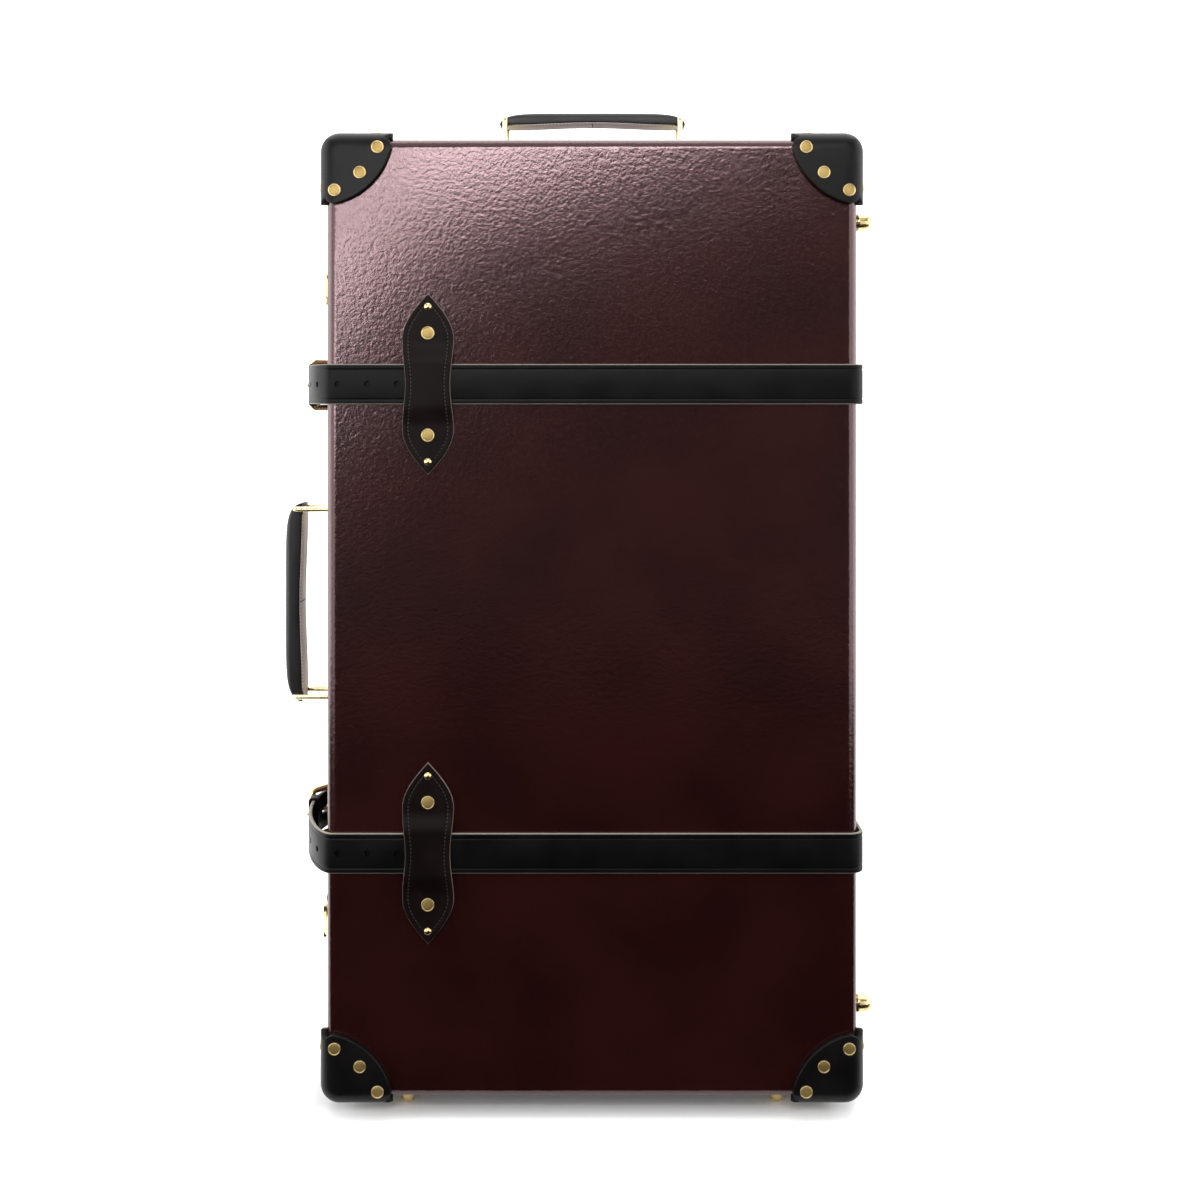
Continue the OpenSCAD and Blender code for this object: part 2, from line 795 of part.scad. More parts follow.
// Handles: a leather grip on two wire loops that slide through plates on the wall
collar_t = 1.5;
collar_d = 8;
leg_l = loop_out + board_t + lining_t + clear + collar_t;
loop_bend_r = (leg_gap - grip_w) / 2;
grip_end = wire_d / 2 + 2.4;
grip_r = 4;
crown_steps = 16;
crown_power = 10;
plate_h = 2.5;
plate_w = 16;
plate_r = 5;
sleeve_h = 5;
sleeve_wall = 2.5;
wall_hole_l = 10;
wall_hole_ease = 1;

module on_top(x) {
    translate([x, handle_y, foot_h + case_h]) rotate([0, 0, 90]) children();
}

module side_loop_places() {
    for (s = heads()) on_left(handle_y, s * side_span / 2) children();
}

module top_loop_places() {
    for (s = heads()) on_top(s * top_span / 2) children();
}

module leg_places() {
    for (s = heads()) translate([s * leg_gap / 2, 0, 0]) children();
}

module handle_holes() {
    module hole() leg_places() translate([0, 0, -wall_hole_l])
        cylinder(wall_hole_l + past, d = wire_d + wall_hole_ease, $fn = round_fn);
    side_loop_places() hole();
    top_loop_places() hole();
}

module handle_plate() {
    difference() {
        union() {
            linear_extrude(plate_h) soft_rect(leg_gap + plate_w, plate_w, plate_r);
            leg_places() cylinder(sleeve_h, d = wire_d + 2 * sleeve_wall, $fn = round_fn);
        }
        leg_places() translate([0, 0, -past])
            cylinder(sleeve_h + 2 * past, d = wire_d + 2 * run, $fn = round_fn);
    }
}

// Local Z = 0 is the middle of the outer bar
module wire_loop() {
    bar = leg_gap - 2 * loop_bend_r;
    translate([-bar / 2, 0, 0]) rotate([0, 90, 0]) cylinder(bar, d = wire_d, $fn = round_fn);
    for (s = heads()) translate([s * bar / 2, 0, -loop_bend_r]) rotate([90, 0, 0])
        rotate([0, 0, s < 0 ? 90 : 0]) rotate_extrude(angle = 90, $fn = round_fn)
            translate([loop_bend_r, 0]) circle(d = wire_d, $fn = round_fn);
    leg_places() {
        translate([0, 0, -leg_l]) cylinder(leg_l - loop_bend_r, d = wire_d, $fn = round_fn);
        translate([0, 0, -leg_l]) cylinder(collar_t, d = collar_d, $fn = round_fn);
    }
}

// Long in local Y, crowned outside, with round ends; the wire's middle lies at Z = 0
module grip(span, t) {
    reach = span / 2 + grip_end;
    crown = [for (i = [-crown_steps:crown_steps]) let (y = sin(90 * i / crown_steps))
        [reach * y, -grip_core + t * sqrt(1 - pow(abs(y), crown_power))]];
    difference() {
        intersection() {
            rotate([90, 0, 90]) translate([0, 0, -grip_w]) linear_extrude(2 * grip_w)
                polygon(crown);
            rotate([90, 0, 0]) translate([0, t / 2 - grip_core, -reach - past])
                linear_extrude(2 * (reach + past)) soft_rect(grip_w, t, grip_r);
        }
        for (s = heads()) translate([-grip_w, s * span / 2, 0]) rotate([0, 90, 0])
            cylinder(2 * grip_w, d = wire_d + 2 * run, $fn = round_fn);
    }
}

module side_handle_plates() {
    color(brass_colour) side_loop_places() handle_plate();
}

module top_handle_plates() {
    color(brass_colour) top_loop_places() handle_plate();
}

module side_wire_loops() {
    color(brass_colour) side_loop_places() translate([0, 0, loop_out]) wire_loop();
}

module top_wire_loops() {
    color(brass_colour) top_loop_places() translate([0, 0, loop_half]) wire_loop();
}

module side_grip() {
    color(leather_colour) on_left(handle_y, 0) translate([0, 0, loop_out]) grip(side_span, side_grip_t);
}

module top_grip() {
    color(leather_colour) on_top(0) translate([0, 0, loop_half]) grip(top_span, top_grip_t);
}

// Feet: domes turned in brass
flange_h = 2.5;
dome_from = 3.5;
dome_in = 1.5;
dome_step = 10;
module foot() {
    r = foot_d / 2;
    rotate_extrude($fn = round_fn)
        polygon(concat([[0, 0], [r, 0], [r, flange_h], [r - dome_in, dome_from]],
            [for (a = [0:dome_step:90])
                [(r - dome_in) * cos(a), dome_from + (foot_h - dome_from) * sin(a)]]));
}

module feet() {
    color(brass_colour) {
        for (s = heads()) translate([s * foot_x, foot_y, foot_h]) rotate([180, 0, 0]) foot();
        for (s = heads()) on_right(foot_y, s * foot_z) foot();
    }
}

// Wheels in moulded housings that take the lower back corners of the base
housing_t = 4;
wheel_x = half_w - housing_w / 2;
wheel_y = case_d - wheel_in;
wheel_gap = 2.5;
well_w = wheel_w + 3;
axle_l = well_w + 16;
hub_r = axle_r + 4;
hub_out = 1;
dish_r = wheel_d / 2 - tyre_t - 3;
dish_d = 3;
tyre_r = 1.5;

module on_axle(side) {
    translate([side * wheel_x, wheel_y, wheel_d / 2]) rotate([0, 90, 0]) children();
}

module wheel_housing(side) {
    color(plastic_colour) difference() {
        intersection() {
            from_back() grown_tray(base_d, housing_t);
            housing_space(side);
        }
        on_axle(side) cylinder(well_w, d = wheel_d + 2 * wheel_gap, center = true, $fn = round_fn);
        on_axle(side) cylinder(axle_l, r = axle_r, center = true, $fn = round_fn);
    }
}

module wheel_axles() {
    color("silver") for (side = heads())
        on_axle(side) cylinder(axle_l, r = axle_r, center = true, $fn = round_fn);
}

module wheel(side) {
    color(plastic_colour) on_axle(side) difference() {
        union() {
            cylinder(wheel_w, d = wheel_d - 2 * tyre_t, center = true, $fn = round_fn);
            cylinder(wheel_w + 2 * hub_out, r = hub_r, center = true, $fn = round_fn);
        }
        for (s = heads()) translate([0, 0, s * wheel_w / 2]) difference() {
            cylinder(2 * dish_d, r = dish_r, center = true, $fn = round_fn);
            cylinder(2 * (dish_d + past), r = hub_r, center = true, $fn = round_fn);
        }
        cylinder(2 * wheel_w, r = axle_r + run, center = true, $fn = round_fn);
    }
}

module tyre(side) {
    color(rubber_colour) on_axle(side) rotate_extrude($fn = 2 * round_fn)
        translate([wheel_d / 2 - tyre_t, 0]) difference() {
            translate([tyre_t / 2, 0]) soft_rect(tyre_t, wheel_w, tyre_r);
            translate([-past, -wheel_w]) square([past, 2 * wheel_w]);
        }
}

place() lid_shell();
place() lid_lining();
place() lid_corner(-1, 1);  // lid_corner_upper_left
place() lid_corner(1, 1);  // lid_corner_upper_right
place() lid_corner(-1, -1);  // lid_corner_lower_left
place() lid_corner(1, -1);  // lid_corner_lower_right
place() lid_corner_rivets();
place() from_front() at_loop(1) strap_loop();  // front_loop_upper
place() from_front() at_loop(-1) strap_loop();  // front_loop_lower
place() front_loop_rivets();
place() front_strap(1);  // front_strap_upper
place() front_strap(-1);  // front_strap_lower
place() tongue(1);  // tongue_upper
place() tongue(-1);  // tongue_lower
place() hinge_bend(1);  // hinge_bend_upper
place() hinge_bend(-1);  // hinge_bend_lower
place() loose_keeper(1);  // loose_keeper_upper
place() loose_keeper(-1);  // loose_keeper_lower
place() feet();
place() lid_hinge_leaves();
place() hasp_mounts();
place() base_shell();
place() base_rim();
place() base_lining();
place() base_corner(-1, 1);  // base_corner_upper_left
place() base_corner(1, 1);  // base_corner_upper_right
place() wheel_housing(-1);  // wheel_housing_left
place() wheel_housing(1);  // wheel_housing_right
place() base_corner_rivets();
place() from_back() at_loop(1) strap_loop();  // back_loop_upper
place() from_back() at_loop(-1) strap_loop();  // back_loop_lower
place() back_loop_rivets();
place() back_strap(1);  // back_strap_upper
place() back_strap(-1);  // back_strap_lower
place() fixed_keeper(1);  // fixed_keeper_upper
place() fixed_keeper(-1);  // fixed_keeper_lower
place() lock_case(1);  // lock_case_upper
place() lock_case(-1);  // lock_case_lower
place() base_hinge_leaves();
place() hinge_pins();
place() side_handle_plates();
place() top_handle_plates();
place() wheel_axles();
place() buckle(1);  // buckle_upper
place() buckle(-1);  // buckle_lower
place() prong(1);  // prong_upper
place() prong(-1);  // prong_lower
place() hasp(1);  // hasp_upper
place() hasp(-1);  // hasp_lower
place() lock_button(1);  // lock_button_upper
place() lock_button(-1);  // lock_button_lower
place() side_grip();
place() side_wire_loops();
place() top_grip();
place() top_wire_loops();
place() wheel(-1);  // wheel_left
place() wheel(1);  // wheel_right
place() tyre(-1);  // tyre_left
place() tyre(1);  // tyre_right
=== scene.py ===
import json
import bmesh
import bpy
import numpy as np
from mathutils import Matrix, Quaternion, Vector

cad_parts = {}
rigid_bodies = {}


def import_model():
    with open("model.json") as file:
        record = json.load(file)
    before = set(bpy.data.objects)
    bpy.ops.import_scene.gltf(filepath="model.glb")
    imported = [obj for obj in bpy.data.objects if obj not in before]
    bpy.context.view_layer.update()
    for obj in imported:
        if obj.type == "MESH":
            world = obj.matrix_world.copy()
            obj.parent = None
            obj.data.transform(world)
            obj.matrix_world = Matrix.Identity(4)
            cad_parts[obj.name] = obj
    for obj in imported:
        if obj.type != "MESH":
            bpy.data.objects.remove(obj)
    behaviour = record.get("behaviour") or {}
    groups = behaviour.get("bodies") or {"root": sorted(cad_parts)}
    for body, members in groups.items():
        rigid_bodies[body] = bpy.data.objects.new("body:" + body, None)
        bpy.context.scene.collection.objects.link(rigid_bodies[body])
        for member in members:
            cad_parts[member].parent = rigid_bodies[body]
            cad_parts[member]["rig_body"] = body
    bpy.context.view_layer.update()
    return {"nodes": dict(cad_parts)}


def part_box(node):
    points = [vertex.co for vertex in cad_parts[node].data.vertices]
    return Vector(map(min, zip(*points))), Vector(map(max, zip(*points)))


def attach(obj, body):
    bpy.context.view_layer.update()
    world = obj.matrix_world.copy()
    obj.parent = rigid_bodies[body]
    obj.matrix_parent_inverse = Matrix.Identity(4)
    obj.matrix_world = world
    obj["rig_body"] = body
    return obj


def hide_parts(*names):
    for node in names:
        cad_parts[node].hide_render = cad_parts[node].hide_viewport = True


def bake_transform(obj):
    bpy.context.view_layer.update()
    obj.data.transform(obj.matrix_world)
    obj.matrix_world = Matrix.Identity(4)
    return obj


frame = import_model()
print("frame loaded:", len(frame["nodes"]), "nodes")

# Sizes of the case in millimetres: X from its middle, Y the depth behind the front face, Z from
# the floor
case = {"halfW": 211.0, "halfH": 381.0, "depth": 220.0, "midZ": 398.0, "lid": 72.0, "gap": 0.4,
        "board": 3.0, "cornerR": 10.0, "edgeR": 7.0}
halfW, halfH, midZ = case["halfW"], case["halfH"], case["midZ"]
caseLow = midZ - halfH   # height of its underside
strapAt = 186.0   # how far the straps lie above and below its middle
levels = ((1, "upper"), (-1, "lower"))
boards = ((False, "lid", "front"), (True, "base", "back"))   # is it the back, its body, its name
toRow = np.array([18.275, -110.0, 0.0])   # what moves the design to the row's origin, in mm


# Numpy and mesh helpers

def unitRows(v):
    return v / np.maximum(np.linalg.norm(v, axis=-1, keepdims=True), 1e-9)


def columns(*parts):
    # coordinates side by side
    return np.stack(parts, 1)


def ringFaces(rows, n, closed=False):
    # quads between rows of n points, each row joined round; closed joins the last row to the first
    i, j = np.meshgrid(np.arange(rows if closed else rows - 1), np.arange(n), indexing="ij")
    row, nextRow, k = i * n, (i + 1) % rows * n, (j + 1) % n
    return np.stack([row + j, row + k, nextRow + k, nextRow + j], -1).reshape(-1, 4).tolist()


def tubeFaces(rows, n):
    # the same with a face over both ends
    return ringFaces(rows, n) + [list(range(n)), [(rows - 1) * n + k for k in range(n)][::-1]]


def arc(cx, cy, r, start, end, n):
    # points at radius r round a centre, angles in degrees
    a = np.radians(np.linspace(start, end, n))
    return columns(cx + r * np.cos(a), cy + r * np.sin(a))


def bezier(a, b, c, d, n):
    # cubic curve through a and d, pulled by b and c
    t = np.linspace(0, 1, n)[:, None]
    u = 1 - t
    a, b, c, d = (np.array(p, float) for p in (a, b, c, d))
    return u ** 3 * a + 3 * u * u * t * b + 3 * u * t * t * c + t ** 3 * d


def quarter(n):
    # n angles from 0 to 90 degrees
    return np.radians(np.linspace(0, 90, n))


def circle(n):
    # n angles evenly round
    return np.linspace(0, 2 * np.pi, n, endpoint=False)


def oval(w, h, n):
    a = circle(n)
    return columns(np.cos(a) * w / 2, np.sin(a) * h / 2)


def fourArcs(x, y, r, n):
    # closed outline round four arcs with their centres at x and y, counter-clockwise
    return np.concatenate([arc(x, y, r, 0, 90, n), arc(-x, y, r, 90, 180, n),
                           arc(-x, -y, r, 180, 270, n), arc(x, -y, r, 270, 360, n)])


def roundRect(w, h, r, n):
    return fourArcs(w / 2 - r, h / 2 - r, r, n)


def atHeight(flat, z):
    # plane points at one height
    return np.column_stack([flat, np.full(len(flat), z)])


def faceY(back, rise):
    # where a height above the front board, or above the back board, lies in the depth
    return case["depth"] + rise if back else -rise


def strapZ(up):
    return midZ + up * strapAt


def lineLength(path):
    # how far along the path each of its points lies
    return np.concatenate([[0], np.cumsum(np.linalg.norm(np.diff(path, axis=0), axis=1))])


def evenly(path, step):
    # the same line with points about one step apart, corners kept soft
    s = lineLength(path)
    keep = np.unique(np.concatenate([s, np.arange(0, s[-1], step)]))
    keep = keep[np.concatenate([[True], np.diff(keep) > step * 0.2])]
    return columns(*(np.interp(keep, s, line) for line in path.T))


def sweep(path, section, side, closed=False, width=None):
    # a section carried along a plane path: its first number runs along side, its second along the
    # path's normal; width scales the first number at each point of the path
    path, side = np.asarray(path, float), np.asarray(side, float)
    if closed:
        along = np.roll(path, -1, 0) - np.roll(path, 1, 0)
    else:
        along = np.gradient(path, axis=0)
    normal = unitRows(np.cross(side, unitRows(along)))
    across = section[None, :, 0] * (np.ones(len(path)) if width is None else width)[:, None]
    points = (path[:, None] + across[..., None] * side
              + section[None, :, 1, None] * normal[:, None]).reshape(-1, 3)
    rows, n = len(path), len(section)
    return points, ringFaces(rows, n, True) if closed else tubeFaces(rows, n)


def turned(profile, n, ring=False):
    # a profile of (radius, height) turned round Z, its ends on the axis or closed by a flat, or as a
    # ring its last point joined to its first
    a = circle(n)
    profile = np.asarray(profile, float)
    x, y = profile[:, :1] * np.cos(a), profile[:, :1] * np.sin(a)
    points = np.stack([x, y, np.repeat(profile[:, 1:], n, 1)], -1).reshape(-1, 3)
    return points, ringFaces(len(profile), n, True) if ring else tubeFaces(len(profile), n)


def standing(shape, origin, up, right=None):
    # puts a shape with its Z along up and its X along right at origin
    up = np.array(up, float)
    if right is None:
        right = np.cross(up, [0.0, 0.0, 1.0] if abs(up[2]) < 0.9 else [1.0, 0.0, 0.0])
    right = unitRows(np.array(right, float))
    basis = np.stack([right, np.cross(up, right), up])
    return np.asarray(shape[0]) @ basis + np.array(origin, float), shape[1]


def joined(shapes):
    # several shapes as one list of points and faces
    points, faces, count = [], [], 0
    for p, f in shapes:
        points.append(p)
        faces += [[v + count for v in face] for face in f]
        count += len(p)
    return np.concatenate(points), faces


def newMesh(name, shapes, welded):
    # shapes in millimetres, in the row's frame, with their faces turned outwards
    points, faces = joined(shapes)
    mesh = bpy.data.meshes.new(name)
    mesh.from_pydata(((points + toRow) / 1000).tolist(), [], faces)
    bm = bmesh.new()
    bm.from_mesh(mesh)
    if welded:
        bmesh.ops.remove_doubles(bm, verts=bm.verts, dist=2e-6)
        bmesh.ops.dissolve_degenerate(bm, edges=bm.edges, dist=1e-7)
    bmesh.ops.recalc_face_normals(bm, faces=bm.faces)
    bm.to_mesh(mesh)
    bm.free()
    return mesh


def newObject(name, mesh):
    made = bpy.data.objects.new(name, mesh)
    bpy.context.scene.collection.objects.link(made)
    return made


def addPiece(name, shapes, body, material, *stands):
    # one smooth piece that rides on a body, and the nodes that it stands for
    mesh = newMesh(name, shapes, True)
    mesh.shade_smooth()
    mesh.materials.append(material)
    piece = newObject(name, mesh)
    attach(piece, body)
    if stands:
        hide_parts(*stands)
    return piece


def creased(piece, degrees):
    # smooth shading, but sharp where faces meet at more than this angle
    piece.data.set_sharp_from_angle(angle=np.radians(degrees))


def cutAway(piece, shapes, folded=False):
    # takes the shapes out of the piece; folded is for a piece whose layers lie on each other
    cutter = newObject("cutter", newMesh("cutter", shapes, False))
    cut = piece.modifiers.new("cut", "BOOLEAN")
    cut.operation, cut.object, cut.solver, cut.use_self = "DIFFERENCE", cutter, "EXACT", folded
    bpy.context.view_layer.update()
    graph = bpy.context.evaluated_depsgraph_get()
    mesh = bpy.data.meshes.new_from_object(piece.evaluated_get(graph))
    piece.modifiers.clear()
    piece.data = mesh
    bpy.data.objects.remove(cutter)


# Materials

def linearColour(code):
    # sRGB hex to the linear values that the shader wants
    c = np.array([int(code[i:i + 2], 16) for i in (1, 3, 5)]) / 255
    c = np.where(c <= 0.04045, c / 12.92, ((c + 0.055) / 1.055) ** 2.4)
    return (*c.tolist(), 1.0)


def addNode(tree, kind, values=None, links=None, **settings):
    # one node with its settings, its socket values and what feeds its sockets
    node = tree.nodes.new("ShaderNode" + kind)
    for key, value in settings.items():
        setattr(node, key, value)
    for key, value in (values or {}).items():
        node.inputs[key].default_value = value
    for key, source in (links or {}).items():
        tree.links.new(source, node.inputs[key])
    return node


def emptyTree(owner):
    # the node tree of a material or of the world, cleared
    owner.use_nodes = True
    owner.node_tree.nodes.clear()
    return owner.node_tree


def startMaterial(name):
    # a material, its tree and the place in the object that its patterns are laid by
    material = bpy.data.materials.new(name)
    tree = emptyTree(material)
    return material, tree, addNode(tree, "TexCoord").outputs["Object"]


def endMaterial(tree, values, links):
    # the surface's shader and the output
    shader = addNode(tree, "BsdfPrincipled", values, links)
    addNode(tree, "OutputMaterial", links={"Surface": shader.outputs[0]})


def sums(operation, *terms, kind="Math", output="Value"):
    # one sum of sockets and plain numbers, in the tree of its first socket
    fed = {k: v for k, v in enumerate(terms) if isinstance(v, bpy.types.NodeSocket)}
    fixed = {k: v for k, v in enumerate(terms) if k not in fed}
    return addNode(terms[0].id_data, kind, fixed, fed, operation=operation).outputs[output]


def noise(where, scale, detail=2.0, distortion=0.0, roughness=0.5):
    values = {"Scale": scale, "Detail": detail, "Distortion": distortion, "Roughness": roughness}
    return addNode(where.id_data, "TexNoise", values, {"Vector": where}).outputs["Fac"]


def bumped(height, strength, mm):
    # the surface's normal over a pattern that is so many millimetres high
    values = {"Strength": strength, "Distance": mm / 1000}
    return addNode(height.id_data, "Bump", values, {"Height": height}).outputs["Normal"]


def twoTone(fac, low, high):
    # a ramp between two colours by a pattern
    ramp = addNode(fac.id_data, "ValToRGB", links={"Fac": fac})
    for stop, colour, at in zip(ramp.color_ramp.elements, (low, high), (0.35, 0.65)):
        stop.position, stop.color = at, linearColour(colour)
    return ramp.outputs["Color"]


def spread(fac, low, high, fromLow=0.3, fromHigh=0.7):
    # a pattern's value brought into a range
    values = {"From Min": fromLow, "From Max": fromHigh, "To Min": low, "To Max": high}
    return addNode(fac.id_data, "MapRange", values, {"Value": fac}).outputs["Result"]


def makeFibreboard():
    # Vulcanised fibre, calendered and lacquered: a fine pebble of pressed fibres under a satin
    # film, which breaks a highlight into small grains
    look = {"deep": "#1F0909", "warm": "#290E0D", "tint": "#FFDCE1", "pebbleMm": 1.3, "fibreMm": 2.2,
            "cloudMm": 90, "rough": (0.15, 0.19), "bumpMm": 0.15}
    material, tree, where = startMaterial("vulcanisedFibreboard")
    pebble = noise(where, 1000 / look["pebbleMm"] / 2, 3.0, roughness=0.6)
    fibre = noise(where, 1000 / look["fibreMm"] / 2, 2.0, 0.6)
    cloud = noise(where, 1000 / look["cloudMm"])
    bump = bumped(sums("ADD", pebble, fibre), 0.8, look["bumpMm"])
    endMaterial(tree, {"Specular IOR Level": 1.0, "Specular Tint": linearColour(look["tint"])},
                {"Base Color": twoTone(cloud, look["deep"], look["warm"]),
                 "Roughness": spread(pebble, *look["rough"]), "Normal": bump})
    return material


def makeLeather(name, deep, light, grainMm, rough, bumpMm, specular=0.5, edge=None):
    # Vegetable-tanned hide, dyed through and waxed: a shallow cell grain, a soft, uneven polish and
    # paler cut edges, partly burnished wear and partly a painted highlight along the edges
    material, tree, where = startMaterial(name)
    cell = addNode(tree, "TexVoronoi", {"Scale": 1000 / grainMm, "Randomness": 1.0},
                   {"Vector": where}, feature="SMOOTH_F1").outputs["Distance"]
    crease = noise(where, 1000 / grainMm / 5, 4.0, 1.2)
    cloud = noise(where, 28.0)
    bump = bumped(sums("ADD", sums("MULTIPLY", cell, 0.6), crease), 0.5, bumpMm)
    colour = twoTone(cloud, deep, light)
    if edge == "strap":
        # 0.8 mm along both edges of the straps, which lie level at two heights: paler, as wear and as a
        # painted highlight
        z = addNode(tree, "SeparateXYZ", links={0: where}).outputs["Z"]
        for level in (midZ / 1000, strapAt / 1000, 0.0):
            z = sums("ABSOLUTE", sums("SUBTRACT", z, level))
        edgeWearAndSheen = spread(z, 0, 1, 0.0151, 0.0156)
    elif edge == "face":
        # where the surface of a flat piece turns away from its face: paler, as wear and as a painted
        # highlight
        out = addNode(tree, "TexCoord").outputs["Normal"]
        out = addNode(tree, "SeparateXYZ", links={0: out}).outputs["Y"]
        edgeWearAndSheen = spread(sums("ABSOLUTE", out), 0, 1, 0.8, 0.5)
    if edge:
        # by their order the sockets of a colour mix are 0 the share, 6 and 7 the two colours; the pale
        # one is edge wear and a painted highlight
        colour = addNode(tree, "Mix", {7: linearColour("#8A8378")}, {0: edgeWearAndSheen, 6: colour},
                         data_type="RGBA").outputs[2]
    endMaterial(tree, {"Specular IOR Level": specular},
                {"Base Color": colour, "Roughness": spread(cloud, *rough), "Normal": bump})
    return material


def makeMetal(name, colour, dull, rough, scratchMm, bumpMm=0.01):
    # Cast or drawn metal, polished on a wheel: fine scratches and a slightly uneven tone
    material, tree, where = startMaterial(name)
    scratch = noise(where, 1000 / scratchMm, 2.0, 0.4)
    cloud = noise(where, 90.0)
    bump = bumped(scratch, 0.3, bumpMm)
    endMaterial(tree, {"Metallic": 1.0},
                {"Base Color": twoTone(cloud, dull, colour),
                 "Roughness": spread(scratch, *rough), "Normal": bump})
    return material


def makeCloth():
    # Cotton lining in plain weave: warp and weft 0.9 mm apart, drawn at 1.4 mm so that they show
    look = {"warp": "#8E7A62", "weft": "#A38E74", "threadMm": 1.4}
    material, tree, where = startMaterial("cottonLining")
    wave = {"Scale": 1000 / look["threadMm"] / 20, "Distortion": 0.6, "Detail": 1.0}
    bands = [addNode(tree, "TexWave", wave, {"Vector": where}, bands_direction=axis) for axis in "XZ"]
    weave = sums("MULTIPLY", *(band.outputs["Fac"] for band in bands))
    bump = bumped(weave, 0.5, 0.3)
    endMaterial(tree, {"Roughness": 0.85, "Sheen Weight": 0.25, "Sheen Roughness": 0.5},
                {"Base Color": twoTone(weave, look["warp"], look["weft"]), "Normal": bump})
    return material


def makeMoulded(name, colour, light, grainMm, rough):
    # Injection-moulded or pressed black stock: an eroded mould grain and an even, low sheen
    material, tree, where = startMaterial(name)
    grain = noise(where, 1000 / grainMm / 2)
    bump = bumped(grain, 0.35, 0.1)
    endMaterial(tree, {}, {"Base Color": twoTone(grain, colour, light),
                           "Roughness": spread(grain, *rough), "Normal": bump})
    return material


fibreboard = makeFibreboard()
cornerLeather = makeLeather("MouldedCornerHide", "#0B0A0A", "#121010", 0.9, (0.34, 0.42), 0.05, 0.15)
strapLeather = makeLeather("BridleLeather", "#060606", "#0C0B0B", 0.7, (0.38, 0.48), 0.04, 0.11,
                           "strap")
keeperLeather = makeLeather("BridleLeatherKeepers", "#060606", "#0C0B0B", 0.7, (0.38, 0.48), 0.04, 0.11)
loopLeather = makeLeather("BridleLeatherLoops", "#0E0807", "#150D0C", 0.7, (0.44, 0.52), 0.05, 0.08,
                          "face")
gripLeather = makeLeather("GripHide", "#0A0909", "#121010", 0.8, (0.34, 0.46), 0.05, 0.3)
# a near-white leather for the grips' underside panels
paleLeather = makeLeather("UndyedGripLining", "#F3EEE6", "#FAF7F1", 0.8, (0.45, 0.55), 0.05)
brass = makeMetal("PolishedBrass", "#E8D29C", "#D9BF84", (0.18, 0.30), 0.8)
rivetBrass = makeMetal("SatinBrassRivet", "#B39A62", "#A08752", (0.52, 0.62), 0.6)
wireBrass = makeMetal("DrawnBrassWire", "#EBDDB8", "#D9C596", (0.16, 0.26), 0.5)
# the rims' paler brass is partly polish and partly a painted highlight on the bead
rimBrass = makeMetal("RolledRivetRim", "#D3BE8A", "#C2AC76", (0.34, 0.44), 0.5)
steel = makeMetal("TurnedSteel", "#B9BBBE", "#9A9CA0", (0.25, 0.4), 0.4)
cloth = makeCloth()
plastic = makeMoulded("MouldedNylon", "#0E0E0F", "#18181A", 0.6, (0.42, 0.55))
rubber = makeMoulded("TyreRubber", "#101010", "#1C1B1A", 0.5, (0.65, 0.8))
thread = makeMoulded("WaxedThread", "#070606", "#0E0C0B", 0.4, (0.4, 0.55))
print("materials made")


# The two trays of the case

def trayOutline(inset):
    # the case's outline seen from the front, moved in by inset, round corners kept
    r = max(case["cornerR"] - inset, 0.02)
    return fourArcs(halfW - case["cornerR"], halfH - case["cornerR"], r, 10)


def trayShape(depth, outset, inner, back=False, rim=0.6):
    # outlines stacked from the middle of the face, over the rounded edge, down the wall, round the
    # rim and back inside; outset and inner are how far the two skins lie outside the case's form
    e = case["edgeR"]
    turn = quarter(9)
    outerRound, innerRound = (e - (e + skin) * columns(np.sin(turn), np.cos(turn))
                              for skin in (outset, inner))
    profile = np.concatenate([
        [[e + 1.2, -outset]], outerRound,
        [[-outset, depth - rim], [-outset + rim * 0.3, depth - rim * 0.3], [-outset + rim, depth]],
        [[-inner - rim, depth], [-inner - rim * 0.3, depth - rim * 0.3], [-inner, depth - rim]],
        innerRound[::-1], [[e + 1.2, -inner]]])
    rings = []
    for inset, y in profile:
        ring = trayOutline(inset)
        rings.append(columns(ring[:, 0], np.full(len(ring), y), ring[:, 1] + midZ))
    points = np.concatenate(rings)
    points[:, 1] = faceY(back, -points[:, 1])
    return points, tubeFaces(len(rings), len(rings[0]))


def blockShape(low, high):
    # a plain block, only used to cut with
    low, high = np.array(low, float), np.array(high, float)
    corners = np.array([[x, y, z] for x in (0, 1) for y in (0, 1) for z in (0, 1)])
    faces = [[0, 1, 3, 2], [4, 6, 7, 5], [0, 4, 5, 1], [2, 3, 7, 6], [0, 2, 6, 4], [1, 5, 7, 3]]
    return low + corners * (high - low), faces


wheelSet = {"housing": (52.0, 56.0, 58.0), "over": 10.0}


def housingBlock(side):
    # the room of one wheel housing, and some more outside the case
    w, d, h = wheelSet["housing"]
    x = sorted([side * (halfW - w), side * (halfW + wheelSet["over"])])
    return blockShape([x[0], case["depth"] - d, caseLow - wheelSet["over"]],
                      [x[1], case["depth"] + wheelSet["over"], caseLow + h])


baseDepth = case["depth"] - case["lid"] - case["gap"]
lidBoard = addPiece("lidBoard", [trayShape(case["lid"], 0, -case["board"])], "lid", fibreboard,
                    "lid_shell")
creased(lidBoard, 35)
baseBoard = addPiece("baseBoard", [trayShape(baseDepth, 0, -case["board"], True)], "base", fibreboard,
                     "base_shell")
cutAway(baseBoard, [housingBlock(-1), housingBlock(1)])
baseBoard.data.shade_smooth()
creased(baseBoard, 35)
print("boards made")


# Leather corners

hide = {"thick": 5.5, "reach": 59.0, "edgeRound": 0.7, "heart": 14.0}


